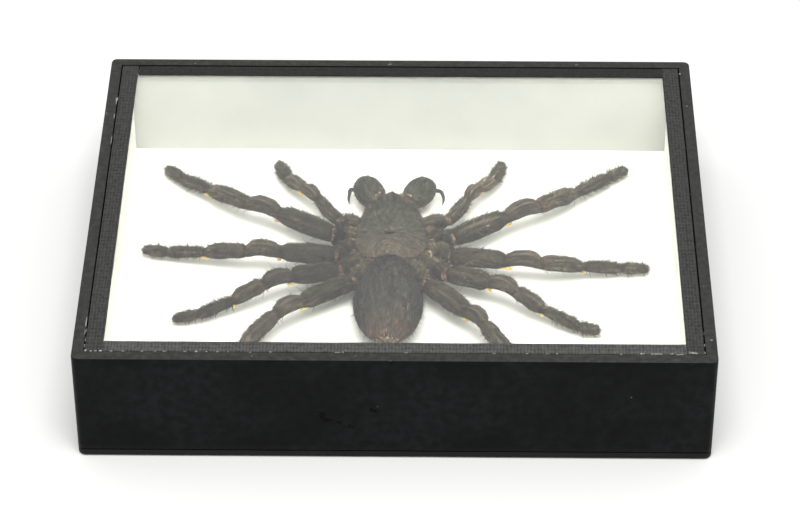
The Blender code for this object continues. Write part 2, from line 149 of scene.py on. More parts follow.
# Pale spots at the roots of the chelicerae: pale bald skin and painted highlights.
BALD_AND_GLINT_SPOTS = {               # pale skin at the roots of the chelicerae: place and size
    "chelicera_left": ((-9.0, 33.9, 9.3, 0.4), (-7.8, 34.3, 9.6, 0.5), (-6.5, 35.3, 9.75, 0.55)),
    "chelicera_right": ((3.1, 34.8, 9.5, 0.4), (4.0, 34.2, 9.5, 0.6)),
}
FANGS = {
    "fang_left": ((-16.4, 44.8), (-16.9, 44.2), (-17.1, 42.4), (-17.3, 40.5), (-17.0, 38.4)),
    "fang_right": ((13.4, 44.4), (14.3, 44.0), (15.1, 42.3), (15.3, 40.4), (14.8, 38.0)),
}
FANG_HEIGHTS = (3.7, 3.7, 3.3, 2.8, 2.3)
FANG_RADII = (0.6, 0.74, 0.62, 0.4, 0.06)
LEG_JOINTS = {
    "leg_1_left": ((-15.8, 16.9), (-20.8, 15.3), (-40.5, 25.5), (-51.0, 30.5),
                   (-64.5, 42.0), (-75.0, 51.0), (-80.5, 57.5)),
    "leg_2_left": ((-16.3, 11.1), (-20.0, 5.1), (-39.5, 4.5), (-50.5, 5.0),
                   (-64.5, 8.0), (-77.5, 10.5), (-85.5, 12.5)),
    "leg_3_left": ((-13.5, 4.5), (-18.6, -2.9), (-35.5, -8.5), (-44.0, -12.5),
                   (-54.0, -17.4), (-65.5, -22.1), (-73.2, -23.6)),
    "leg_4_left": ((-9.9, 0.8), (-14.6, -8.7), (-31.5, -21.5), (-39.5, -28.0),
                   (-50.0, -41.0), (-57.5, -55.5), (-61.5, -63.0)),
    "leg_1_right": ((11.2, 16.9), (17.3, 13.7), (36.5, 24.0), (47.0, 29.5),
                    (60.5, 41.5), (72.0, 53.0), (78.5, 58.5)),
    "leg_2_right": ((11.5, 10.9), (16.9, 4.7), (36.5, 0.5), (47.5, -0.5),
                    (61.5, 1.5), (74.5, 3.5), (83.5, 4.0)),
    "leg_3_right": ((9.2, 4.6), (15.5, -3.8), (31.0, -11.0), (39.0, -15.5),
                    (48.0, -21.0), (59.5, -27.0), (66.0, -28.5)),
    "leg_4_right": ((5.6, 1.3), (9.6, -9.6), (23.5, -26.5), (28.7, -32.4),
                    (37.2, -45.9), (44.2, -59.4), (47.7, -66.4)),
}
LEG_HEIGHTS = (5.0, 6.8, 8.2, 8.2, 5.1, 2.9, 2.4)
LEG_GIRTH = {"1": 1.0, "2": 0.96, "3": 0.95, "4": 0.96}
# How light a leg, its coxa and its trochanter are; how much yellow skin shows under its knee and ankle.
LegLook = namedtuple("LegLook", "tone coxa trochanter knee ankle")
LEG_LOOKS = {
    "leg_1_left": LegLook(0.87, 1.3, 0.45, 0.7, 1.5),
    "leg_2_left": LegLook(0.8, 1.0, 1.0, 0.6, 1.0),
    "leg_3_left": LegLook(0.8, 1.0, 1.0, 1.2, 0.6),
    "leg_4_left": LegLook(1.0, 1.25, 1.2, 0.9, 1.0),
    "leg_1_right": LegLook(1.1, 0.9, 0.75, 0.9, 0.0),
    "leg_2_right": LegLook(1.14, 1.15, 1.1, 1.4, 0.5),
    "leg_3_right": LegLook(1.15, 1.0, 1.0, 0.8, 0.6),
    "leg_4_right": LegLook(1.15, 1.15, 1.3, 0.8, 0.5),
}
PALP_JOINTS = {
    "palp_left": ((-14.1, 24.0), (-19.5, 23.5), (-27.5, 35.0), (-32.5, 42.0),
                  (-38.5, 49.5), (-42.0, 60.0)),
    "palp_right": ((9.3, 24.0), (16.5, 24.0), (23.5, 35.5), (27.0, 42.0),
                   (32.5, 49.0), (35.5, 60.5)),
}
PALP_HEIGHTS = (5.0, 6.6, 7.2, 6.3, 4.4, 2.7)
PALP_LOOKS = {"palp_left": (1.0, 1.1), "palp_right": (1.3, 0.5)}      # lightness and yellow skin
ROOTS = {side: [PALP_JOINTS["palp_" + side][0]] + [LEG_JOINTS[f"leg_{k}_{side}"][0] for k in "1234"]
         for side in ("left", "right")}

# Each segment of a limb: how far it runs past both its joints, a table of share, radius and lift of
# its middle, how much taller than wide it is, how brown, hairs per mm2, their length and rise, the
# kind of marks it bears and how light it is.
Segment = namedtuple("Segment", "before after table tall brown density hair rise marks tone")
COXA = Segment(1.0, 1.2, ((0, 2.5, -0.3), (0.4, 2.8, -0.2), (0.8, 3.0, -0.1), (1, 2.7, 0)),
               1.18, 0.25, 11, 1.0, 0.45, "rough", 1.7)
TROCHANTER = Segment(0.9, 1.0, ((0, 2.8, 0), (0.5, 3.2, 0), (1, 2.95, 0)),
                     1.08, 0.1, 11, 0.9, 0.45, "rough", 1.35)
FEMUR = Segment(1.5, 2.0, ((0, 2.8, -0.1), (0.12, 3.15, 0), (0.35, 3.4, 0.2), (0.7, 3.3, 0.2),
                           (0.9, 3.05, 0.1), (1, 2.3, 0)), 1.0, 0.2, 9, 1.2, 0.18, "femur", 1.0)
PATELLA = Segment(0.9, 1.5, ((0, 2.0, 0), (0.12, 2.4, 0.7), (0.3, 2.75, 1.4), (0.5, 2.85, 1.8),
                             (0.78, 2.75, 1.5), (1, 2.1, 0.2)), 1.0, 0.7, 8, 0.9, 0.2, "patella", 0.85)
TIBIA = Segment(0.9, 1.2, ((0, 2.0, 0), (0.12, 2.5, 0.2), (0.4, 2.6, 0.45), (0.85, 2.5, 0.3),
                           (1, 1.8, 0)), 1.0, 0.45, 10, 1.15, 0.32, "tibia", 1.0)
METATARSUS = Segment(0.7, 0.8, ((0, 1.25, 0), (0.12, 1.65, 0.1), (0.5, 1.8, 0.1), (0.88, 1.75, 0),
                                (1, 1.35, 0)), 1.0, 0.4, 15, 1.2, 0.55, "plain", 1.05)
TARSUS = Segment(0.5, 0.9, ((0, 1.2, 0), (0.15, 1.6, 0.05), (0.6, 1.7, 0), (1, 1.35, 0)),
                 1.0, 0.4, 20, 1.05, 0.7, "plain", 1.4)
PALP_SEGMENTS = (
    Segment(1.0, 1.0, ((0, 2.3, 0), (0.6, 2.5, 0.1), (1, 2.2, 0)), 1.1, 0.3, 10, 1.0, 0.45, "rough", 1.5),
    Segment(1.2, 1.5, ((0, 1.95, -0.3), (0.3, 2.15, -0.9), (0.7, 2.2, -0.5), (1, 1.75, 0)),
            1.0, 0.1, 9, 1.2, 0.25, "femur", 1.25),
    Segment(0.8, 1.1, ((0, 1.55, 0), (0.3, 2.15, 0.7), (0.7, 2.3, 0.8), (1, 1.65, 0)),
            1.0, 0.7, 9, 0.9, 0.2, "patella", 0.85),
    Segment(0.8, 1.0, ((0, 1.55, 0), (0.3, 2.15, 0.3), (0.8, 2.1, 0.2), (1, 1.5, 0)),
            1.0, 0.5, 11, 1.0, 0.35, "tibia", 1.3),
    Segment(0.6, 1.0, ((0, 1.5, 0), (0.2, 1.8, 0), (0.65, 1.85, 0), (1, 1.4, 0)),
            1.0, 0.4, 18, 1.0, 0.65, "plain", 0.95),
)

# A coat: hairs per mm2, their length, how steeply they rise, the radius of their roots and how they scatter.
Coat = namedtuple("Coat", "density hair rise radius spread", defaults=(0.07, 0.16))
JOINT_COAT = Coat(8, 0.7, 0.2, spread=0.3)
PAD_COAT = Coat(40, 0.75, 0.9, spread=0.35)
CARAPACE_COAT = Coat(20, 0.75, 0.1, 0.06)
CARAPACE_FRINGE = Coat(8, 1.1, 0.4, spread=0.35)
CHELICERA_COAT = Coat(16, 0.9, 0.14, 0.06)
CHELICERA_BRISTLES = Coat(0.8, 1.6, 0.5)
ABDOMEN_COAT = Coat(16, 1.4, 0.16, 0.06, 0.1)
ABDOMEN_FRINGE = Coat(3.0, 2.2, 0.3)
ABDOMEN_BRISTLES = Coat(0.7, 2.2, 0.5, 0.05, 0.3)
SPINNERET_COAT = Coat(16, 0.8, 0.5, spread=0.3)

# Material slots of the animal's pieces. Abdomen, chelicerae and fangs have some of their own.
CUTICLE, HAIR, MEMBRANE, AMBER, HORN = range(5)
SILK_SLOT = 2
BALD_AND_GLINT_SLOT = 3
FANG_ROOT_SLOT = 1


# ---- material nodes ----

class Nodes:
    """Short names for the nodes that the materials are built from. Lengths are in millimetres."""

    def __init__(self, name):
        self.mat = bpy.data.materials.new(name)
        self.mat.use_nodes = True
        self.tree = self.mat.node_tree
        self.shader = self.tree.nodes["Principled BSDF"]

    def new(self, kind, **settings):
        node = self.tree.nodes.new(kind)
        for key, value in settings.items():
            setattr(node, key, value)
        return node

    def feed(self, socket, value):
        if isinstance(value, bpy.types.NodeSocket):
            self.tree.links.new(value, socket)
        elif isinstance(value, tuple) and len(value) == 3 and socket.type == "RGBA":
            socket.default_value = (*value, 1.0)
        else:
            socket.default_value = value

    def place(self, scale=(1, 1, 1)):
        """Position in the row frame, in millimetres, stretched by scale."""
        mapping = self.new("ShaderNodeMapping")
        mapping.inputs["Scale"].default_value = [s / MM for s in scale]
        self.feed(mapping.inputs["Vector"], self.new("ShaderNodeTexCoord").outputs["Object"])
        return mapping.outputs["Vector"]

    def attribute(self, name, output="Vector"):
        return self.new("ShaderNodeAttribute", attribute_name=name).outputs[output]

    def split(self, vector):
        node = self.new("ShaderNodeSeparateXYZ")
        self.feed(node.inputs[0], vector)
        return node.outputs

    def noise(self, vector, scale, detail=3.0, roughness=0.55, distortion=0.0):
        node = self.new("ShaderNodeTexNoise")
        for key, value in (("Vector", vector), ("Scale", scale), ("Detail", detail),
                           ("Roughness", roughness), ("Distortion", distortion)):
            self.feed(node.inputs[key], value)
        return node.outputs["Fac"]

    def math(self, kind, a, b=0.0, c=0.0, clamp=False):
        node = self.new("ShaderNodeMath", operation=kind, use_clamp=clamp)
        for socket, value in zip(node.inputs, (a, b, c)):
            self.feed(socket, value)
        return node.outputs[0]

    def band(self, value, low, high, to_low=0.0, to_high=1.0):
        """A smooth step from to_low to to_high as value goes from low to high."""
        node = self.new("ShaderNodeMapRange", interpolation_type="SMOOTHSTEP")
        for key, number in (("Value", value), ("From Min", low), ("From Max", high),
                            ("To Min", to_low), ("To Max", to_high)):
            self.feed(node.inputs[key], number)
        return node.outputs["Result"]

    def mix(self, share, a, b, blend="MIX"):
        node = self.new("ShaderNodeMix", data_type="RGBA", blend_type=blend)
        self.feed(node.inputs["Factor"], share)
        self.feed(node.inputs[6], a)
        self.feed(node.inputs[7], b)
        return node.outputs[2]

    def times(self, color, factor):
        return self.mix(1.0, color, factor, "MULTIPLY")

    def bump(self, height, strength, distance, normal=None):
        node = self.new("ShaderNodeBump")
        self.feed(node.inputs["Height"], height)
        node.inputs["Strength"].default_value = strength
        node.inputs["Distance"].default_value = distance * MM
        if normal is not None:
            self.feed(node.inputs["Normal"], normal)
        return node.outputs["Normal"]

    def upward(self):
        """1 where the surface faces up, 0 where it faces sideways or down."""
        normal = self.new("ShaderNodeNewGeometry").outputs["Normal"]
        return self.band(self.split(normal)["Z"], 0.3, 0.95)

    def specks(self, color, place, tint, cell_scale, size, region_scale, region):
        """Adds small specks of tint, at most one to a cell, where a slow noise is within region."""
        cells = self.new("ShaderNodeTexVoronoi")
        self.feed(cells.inputs["Vector"], place)
        cells.inputs["Scale"].default_value = cell_scale
        speck = self.band(cells.outputs["Distance"], size, 0.02)
        chance = self.band(self.noise(place, region_scale, 1.0), *region)
        return self.mix(self.math("MULTIPLY", speck, chance), color, tint)

    def front_marks(self, place, marks, wander):
        """The weight of the nearest mark inside its flat ellipse on the front face, 0 outside."""
        share = 0.0
        for x, z, reach_x, reach_z, weight in marks:
            mapping = self.new("ShaderNodeMapping")
            mapping.inputs["Scale"].default_value = (1 / reach_x, 2, 1 / reach_z)
            mapping.inputs["Location"].default_value = (-x / reach_x, 2 * HALF_Y, -z / reach_z)
            self.feed(mapping.inputs["Vector"], place)
            away = self.new("ShaderNodeVectorMath", operation="LENGTH")
            self.feed(away.inputs[0], mapping.outputs["Vector"])
            away = self.math("ADD", away.outputs["Value"], wander)
            share = self.math("MAXIMUM", share, self.band(away, 0.5, 1.3, weight, 0.0))
        return share

    def finish(self, **sockets):
        for key, value in sockets.items():
            self.feed(self.shader.inputs[key.replace("_", " ")], value)
        return self.mat


# ---- materials ----

def paint_material():
    """Black paint on smooth wood: faint grain, dust and rubbed patches on top, pale nicks and dents. Upward
    faces are lighter as dust and painted light from above; the dents are painted darker as painted shade, and
    some pale chips are painted highlights.
    """
    n = Nodes("black_paint_look")
    place = n.place()
    grain = n.noise(n.place((0.05, 0.05, 1.1)), 1.0, 4.0)
    cloud = n.noise(place, 0.045, 3.0)
    scuff = n.band(n.noise(n.place((1.0, 0.35, 1.0)), 0.12, 5.0, 0.65), 0.56, 0.78)
    side = n.mix(n.band(cloud, 0.35, 0.7), (0.0012, 0.0015, 0.0018), (0.0044, 0.0050, 0.0055))
    side = n.mix(n.math("MULTIPLY", scuff, 0.35), side, (0.001, 0.001, 0.001))
    side = n.times(side, n.band(n.noise(place, 0.3, 4.0), 0.3, 0.7, 0.5, 1.6))
    # Dust and painted light: the lighter upward faces stand partly for the light from above.
    dust = n.mix(n.band(n.noise(place, 0.5, 4.0), 0.3, 0.75), (0.025, 0.025, 0.024), (0.043, 0.043, 0.041))
    color = n.mix(n.upward(), side, dust)
    color = n.specks(color, place, (0.25, 0.25, 0.24), 0.16, 0.035, 0.09, (0.54, 0.6))
    wander = n.band(n.noise(place, 0.9, 3.0), 0.3, 0.7, -0.5, 0.5)
    # The dents are bumped in and painted near black: painted shade in the hollows.
    dent = n.front_marks(place, FRONT_DENTS, wander)
    color = n.mix(dent, color, (0.0002, 0.0002, 0.0002))
    # Pale chips; some are painted highlights in the dents.
    color = n.mix(n.front_marks(place, FRONT_CHIPS_AND_GLINTS, wander), color, (0.075, 0.075, 0.07))
    bump = n.bump(grain, 0.12, 0.12)
    bump = n.bump(n.noise(place, 1.6, 3.0), 0.1, 0.08, bump)
    bump = n.bump(n.math("SUBTRACT", 1.0, n.math("POWER", dent, 2.0)), 1.0, 0.6, bump)
    rough = n.math("ADD", n.band(cloud, 0.3, 0.7, 0.34, 0.52), n.math("MULTIPLY", dent, 0.4))
    return n.finish(Base_Color=color, Normal=bump, Roughness=rough, Specular_IOR_Level=0.088)


def board_material():
    """The black back panel: flatter paint over pressed board."""
    n = Nodes("board_look")
    place = n.place()
    cloud = n.noise(place, 0.08, 4.0)
    color = n.mix(n.band(cloud, 0.3, 0.7), (0.004, 0.004, 0.004), (0.009, 0.009, 0.0088))
    color = n.specks(color, place, (0.05, 0.047, 0.042), 0.35, 0.06, 0.12, (0.52, 0.6))
    bump = n.bump(n.noise(n.place((0.3, 1.6, 1)), 1.2, 5.0), 0.2, 0.15)
    return n.finish(Base_Color=color, Normal=bump, Roughness=n.band(cloud, 0.3, 0.7, 0.5, 0.7),
                    Specular_IOR_Level=0.16)


def card_material(name, low, high, foot=1.0):
    """White card with a slight tooth and a hint of warmth, darker by foot at the bottom of a wall as painted
    shade.
    """
    n = Nodes(name)
    place = n.place()
    mottle = n.noise(place, 0.05, 4.0)
    tooth = n.noise(place, 2.4, 4.0, 0.7)
    color = n.mix(n.band(mottle, 0.3, 0.7), low, high)
    color = n.mix(n.band(tooth, 0.62, 0.8, 0.0, 0.25), color, (0.8, 0.79, 0.74))
    # Painted shade at the foot of a wall.
    color = n.times(color, n.band(n.split(place)["Z"], FLOOR, LEDGE, foot, 1.0))
    return n.finish(Base_Color=color, Normal=n.bump(tooth, 0.25, 0.05),
                    Roughness=n.band(tooth, 0.3, 0.7, 0.62, 0.82), Specular_IOR_Level=0.25)


def glass_material():
    n = Nodes("clear_glass_look")
    tint = n.mix(n.noise(n.place(), 0.03, 2.0), (0.985, 0.993, 0.988), (0.992, 0.996, 0.993))
    return n.finish(Base_Color=tint, Roughness=0.0, IOR=1.5, Transmission_Weight=1.0)


def tape_material():
    """Black cloth tape: plain weave under a thin film, lint and a little dust."""
    n = Nodes("cloth_tape_look")
    place = n.place()
    x, y, _ = n.split(place)

    def threads(across, drift, pitch):
        """Waves of one set of threads, a little uneven, from -1 to 1."""
        uneven = n.math("ADD", across, n.noise(place, drift, 2.0))
        return n.math("SINE", n.math("MULTIPLY", uneven, 2 * math.pi / pitch))

    weave = n.math("MULTIPLY_ADD", threads(y, 0.5, 1.7), 0.05,
                   n.math("MULTIPLY_ADD", threads(x, 0.4, 1.05), 0.08, 0.5))
    fuzz = n.math("SUBTRACT", n.noise(place, 0.75, 2.0, 0.6), 0.5)
    weave = n.math("MULTIPLY_ADD", fuzz, 0.6, weave)
    patch = n.noise(place, 0.25, 4.0, 0.6)
    color = n.mix(n.band(weave, 0.0, 1.0), (0.004, 0.004, 0.004), (0.066, 0.066, 0.064))
    color = n.mix(n.band(patch, 0.45, 0.8, 0.0, 0.5), color, (0.055, 0.054, 0.052))
    color = n.specks(color, place, (0.3, 0.3, 0.28), 0.5, 0.05, 0.2, (0.55, 0.62))
    # The strip's tone is painted light: lighter on the near strip, darker on the far one.
    color = n.times(color, n.attribute("tone", "Fac"))
    bump = n.bump(patch, 0.2, 0.2, n.bump(weave, 0.6, 0.2))
    return n.finish(Base_Color=color, Normal=bump, Roughness=n.band(patch, 0.3, 0.7, 0.42, 0.6),
                    Specular_IOR_Level=0.12)


def glue_material(name, color, other):
    """Dried clear glue, or another small pale lump, cloudy with a second colour."""
    n = Nodes(name)
    cloud = n.noise(n.place(), 1.4, 4.0, 0.65)
    return n.finish(Base_Color=n.mix(n.band(cloud, 0.35, 0.65), color, other), Normal=n.bump(cloud, 0.4, 0.2),
                    Roughness=n.band(cloud, 0.3, 0.7, 0.15, 0.4), Specular_IOR_Level=0.6)


def hide_material(name, dark, brown, relief):
    """Cuticle and hair: the zone attribute says how brown, red or pale, and fibre carries streaks."""
    n = Nodes(name)
    fibre = n.attribute("fibre")
    zone = n.split(n.attribute("zone"))
    streak = n.noise(fibre, 1.3, 4.0, 0.62)
    fine = n.noise(fibre, 4.5, 3.0, 0.7)
    blotch = n.noise(n.place(), 0.42, 3.0, 0.6)
    share = n.math("MULTIPLY_ADD", n.math("SUBTRACT", blotch, 0.5), 1.3, zone["X"], clamp=True)
    shade = n.math("MULTIPLY", n.band(streak, 0.3, 0.7, 0.38, 1.75), n.band(fine, 0.25, 0.75, 0.5, 1.5))
    color = n.times(n.mix(share, dark, brown), shade)
    red = n.mix(n.band(fine, 0.3, 0.7), (0.14, 0.045, 0.028), (0.33, 0.13, 0.08))
    color = n.mix(zone["Y"], color, red)
    pale = n.mix(n.band(fine, 0.3, 0.7), (0.25, 0.185, 0.13), (0.47, 0.37, 0.29))
    color = n.mix(zone["Z"], color, pale)
    color = n.times(color, n.attribute("tone", "Fac"))
    if relief:
        n.finish(Normal=n.bump(fine, 0.6, 0.12, n.bump(streak, 0.7, 0.35)))
    return n.finish(Base_Color=color, Roughness=n.band(fine, 0.3, 0.7, 0.55, 0.8), Specular_IOR_Level=0.12)


def membrane_material():
    """Dry skin between the segments: pink, orange and yellow patches among dark folds."""
    n = Nodes("membrane_look")
    place = n.place()
    patch = n.noise(place, 0.9, 3.0, 0.6)
    fine = n.noise(place, 2.4, 3.0, 0.7)
    color = n.mix(n.band(patch, 0.42, 0.58), (0.26, 0.105, 0.05), (0.47, 0.36, 0.24))
    fold = n.band(n.noise(place, 0.55, 4.0, 0.65, 0.4), 0.46, 0.54)
    color = n.mix(fold, color, (0.06, 0.043, 0.027))
    color = n.mix(n.band(fine, 0.45, 0.65, 0.0, 0.85), color, (0.045, 0.034, 0.022))
    return n.finish(Base_Color=color, Normal=n.bump(fine, 0.8, 0.3),
                    Roughness=n.band(fine, 0.3, 0.7, 0.4, 0.65), Specular_IOR_Level=0.2)


def amber_material():
    """Thin yellow skin under the joints."""
    n = Nodes("amber_look")
    patch = n.noise(n.place(), 0.8, 3.0)
    color = n.mix(n.band(patch, 0.35, 0.55), (0.6, 0.3, 0.07), (0.82, 0.62, 0.15))
    return n.finish(Base_Color=color, Normal=n.bump(patch, 0.3, 0.2),
                    Roughness=n.band(patch, 0.3, 0.7, 0.3, 0.5))


def horn_material():
    """Glossy black horn of the fangs, with fine lengthwise lines."""
    n = Nodes("horn_look")
    line = n.noise(n.place((1.0, 0.25, 1.0)), 3.0, 3.0)
    color = n.mix(n.band(line, 0.3, 0.7), (0.012, 0.013, 0.015), (0.035, 0.035, 0.037))
    return n.finish(Base_Color=color, Normal=n.bump(line, 0.15, 0.08),
                    Roughness=n.band(line, 0.3, 0.7, 0.16, 0.3), Coat_Weight=0.5, Coat_Roughness=0.12)


def floor_material():
    n = Nodes("studio_floor")
    cloud = n.noise(n.place(), 0.004, 2.0)
    return n.finish(Base_Color=n.mix(cloud, (0.77, 0.77, 0.76), (0.79, 0.79, 0.78)),
                    Roughness=n.band(cloud, 0.3, 0.7, 0.8, 0.9))


# ---- meshes ----

Part = namedtuple("Part", "points tris slot fibre zone smooth tone")
# A skin that hair grows on. Flow is the way its hairs lie, a direction or a function of place.
Surface = namedtuple("Surface", "points tris fibre zone flow shade", defaults=(1.0,))


class Skin:
    """Triangles gathered for one piece, each point with its fibre coordinates, colour zone and tone."""

    def __init__(self):
        self.parts = []
        self.count = 0

    def add(self, points, tris, slot=0, fibre=None, zone=(0, 0, 0), smooth=True, tone=1.0):
        fibre = points if fibre is None else fibre
        zone = np.broadcast_to(np.asarray(zone, float), points.shape)
        tone = np.broadcast_to(tone, len(points))
        self.parts.append(Part(points, tris + self.count, slot, fibre, zone, smooth, tone))
        self.count += len(points)

    def lay(self, surface):
        """Adds a surface as cuticle."""
        self.add(surface.points, surface.tris, CUTICLE, surface.fibre, surface.zone, tone=surface.shade)

    def joined(self, field):
        return np.concatenate([getattr(part, field) for part in self.parts])

    def build(self, name, materials, slot_name, nodes):
        tris = self.joined("tris")
        mesh = bpy.data.meshes.new(name)
        mesh.vertices.add(self.count)
        mesh.vertices.foreach_set("co", (self.joined("points") * MM).astype(np.float32).ravel())
        mesh.loops.add(tris.size)
        mesh.loops.foreach_set("vertex_index", tris.astype(np.int32).ravel())
        mesh.polygons.add(len(tris))
        mesh.polygons.foreach_set("loop_start", np.arange(0, tris.size, 3, dtype=np.int32))
        sizes = [len(part.tris) for part in self.parts]
        slots = np.repeat([part.slot for part in self.parts], sizes)
        mesh.polygons.foreach_set("material_index", slots.astype(np.int32))
        mesh.polygons.foreach_set("use_smooth", np.repeat([part.smooth for part in self.parts], sizes))
        mesh.update(calc_edges=True)
        for key, kind, field in (("fibre", "FLOAT_VECTOR", "vector"), ("zone", "FLOAT_VECTOR", "vector"),
                                 ("tone", "FLOAT", "value")):
            values = self.joined(key).astype(np.float32).ravel()
            mesh.attributes.new(key, kind, "POINT").data.foreach_set(field, values)
        mesh.validate()
        obj = bpy.data.objects.new(name, mesh)
        bpy.context.scene.collection.objects.link(obj)
        for mat in materials:
            mesh.materials.append(mat)
        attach(obj, "root")
        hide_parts(*nodes)
        return obj


def single(name, shape, look, slot_name, nodes, **settings):
    """A piece made of one closed skin."""
    skin = Skin()
    skin.add(*shape, **settings)
    return skin.build(name, [look], slot_name, nodes)


def sharpen(obj, angle=32):
    obj.data.set_sharp_from_angle(angle=math.radians(angle))


def clip(value):
    """The value, held between 0 and 1."""
    return np.clip(value, 0, 1)


def unit(vectors):
    """The vectors at length 1."""
    vectors = np.asarray(vectors, float)
    length = np.linalg.norm(vectors, axis=-1, keepdims=True)
    return vectors / np.maximum(length, 1e-9)


def smooth_table(shares, table):
    """Values of a table of (share, ...) rows at the shares, eased between rows."""
    table = np.array(table, float)
    knots = table[:, 0]
    i = np.clip(np.searchsorted(knots, shares, side="right") - 1, 0, len(knots) - 2)
    slopes = np.gradient(table[:, 1:], knots, axis=0)
    step = (knots[i + 1] - knots[i])[:, None]
    t = clip((shares - knots[i])[:, None] / step)
    values = table[i, 1:] * (1 + 2 * t) * (1 - t) ** 2 + table[i + 1, 1:] * t * t * (3 - 2 * t)
    return values + slopes[i] * step * t * (1 - t) ** 2 - slopes[i + 1] * step * t * t * (1 - t)


def grid_tris(rows, columns):
    """Triangles of a grid of points, closed round its columns."""
    r = np.arange(rows - 1)[:, None]
    c = np.arange(columns)[None, :]
    a = (r * columns + c).ravel()
    b = (r * columns + (c + 1) % columns).ravel()
    return np.concatenate([np.stack([a, b, b + columns], 1), np.stack([a, b + columns, a + columns], 1)])


def facing_out(points, tris):
    """The triangles of a closed skin, all turned over if they face in."""
    a, b, c = (points[tris[:, k]] - points.mean(0) for k in range(3))
    return tris[:, ::-1] if (a * np.cross(b, c)).sum() < 0 else tris


def capped(grid):
    """The closed skin of a tube of rings, with one more point at each end."""
    rows, columns, _ = grid.shape
    points = np.concatenate([grid.reshape(-1, 3), [grid[0].mean(0), grid[-1].mean(0)]])
    here = np.arange(columns)
    there = (here + 1) % columns
    last = (rows - 1) * columns
    start = np.stack([np.full(columns, rows * columns), there, here], 1)
    end = np.stack([np.full(columns, rows * columns + 1), last + here, last + there], 1)
    return points, facing_out(points, np.concatenate([grid_tris(rows, columns), start, end]))


def with_ends(values):
    """Values of a grid as one list, with the two end points that capped adds."""
    flat = values.reshape(-1, *values.shape[2:])
    return np.concatenate([flat, flat[:1], flat[-1:]])


def circle(steps):
    """Angles round a circle."""
    return np.linspace(0, 2 * math.pi, steps, endpoint=False)[None, :]


def ripple(theta, along, rng, size):
    """Gentle uneven swelling of a tube's radius, closed round the tube."""
    total = np.zeros(np.broadcast(theta, along).shape)
    for _ in range(7):
        turns = rng.integers(0, 5)
        wave = rng.uniform(0.15, 0.9)
        total += np.sin(turns * theta + wave * along + rng.uniform(0, 6.3))
    return 1 + size * total / 7


def blob(center, radii, rng, columns=14, rows=8, rough=0.12, turn=0.0):
    """A small uneven rounded lump."""
    theta = circle(columns)
    phi = np.linspace(0.12, math.pi - 0.12, rows)[:, None]
    shape = ripple(theta, phi * 2.5, rng, rough * 2)
    x = np.sin(phi) * np.cos(theta) * shape * radii[0]
    y = np.sin(phi) * np.sin(theta) * shape * radii[1]
    z = np.cos(phi) * shape * radii[2]
    c, s = math.cos(turn), math.sin(turn)
    points, tris = capped(np.stack([x * c - y * s, x * s + y * c, z], -1))
    return points + np.asarray(center, float), tris


def beside(heading):
    """The directions across a line's heading and up from it."""
    across = unit(np.cross(heading, UP))
    return across, np.cross(across, heading)


def tube(middle, heading, wide, tall):
    """Rings round a line, from their points' places across it and up from it."""
    across, up = beside(heading)
    return middle[:, None] + across[..., None, :] * wide[..., None] + up[..., None, :] * tall[..., None]


def cone(start, end, start_radius, end_radius, rng):
    """A slightly uneven stub that tapers from start to end."""
    along = np.linspace(0, 1, 14)
    table = ((0, start_radius), (0.5, (start_radius + end_radius) * 0.54), (1, end_radius))
    radius = smooth_table(along, table)[:, 0] * np.where(along > 0.93, 0.6, 1)
    theta = circle(18)
    shape = ripple(theta, along[:, None] * 8, rng, 0.08) * radius[:, None]
    middle = start + (end - start) * along[:, None]
    return capped(tube(middle, unit(end - start), np.cos(theta) * shape, np.sin(theta) * shape))


# ---- hair ----

def scatter(chance, count, rng):
    """Random places on triangles: which triangle, and the shares of its three corners."""
    pick = rng.choice(len(chance), count, p=chance / chance.sum())
    u, v = rng.random((2, count))
    swap = u + v > 1
    u, v = np.where(swap, 1 - u, u), np.where(swap, 1 - v, v)
    return pick, np.stack([1 - u - v, u, v], 1)


def needles(base, direction, length, radius, rng):
    """Closed thin tetrahedra: one hair each."""
    side = unit(np.cross(direction, unit(rng.normal(size=base.shape))))
    other = np.cross(direction, side)
    corners = []
    for k in range(3):
        angle = 2 * math.pi * k / 3
        corners.append(base + (side * math.cos(angle) + other * math.sin(angle)) * radius[:, None])
    points = np.stack([*corners, base + direction * length[:, None]], 1).reshape(-1, 3)
    start = np.arange(len(base))[:, None, None] * 4
    faces = np.array([[0, 2, 1], [0, 1, 3], [1, 2, 3], [2, 0, 3]])
    return points, (start + faces[None]).reshape(-1, 3)


def cell_values(places, seed):
    """A random number for every warped cell of size 1, the same for all places inside it."""
    cells = np.floor(places + 0.35 * np.sin(places[:, [1, 2, 0]] * 2.3)).astype(np.int64)
    keys = (cells * (73856093, 19349663, 83492791)).sum(1) % 4099
    return np.random.default_rng(seed).normal(size=4099)[keys]


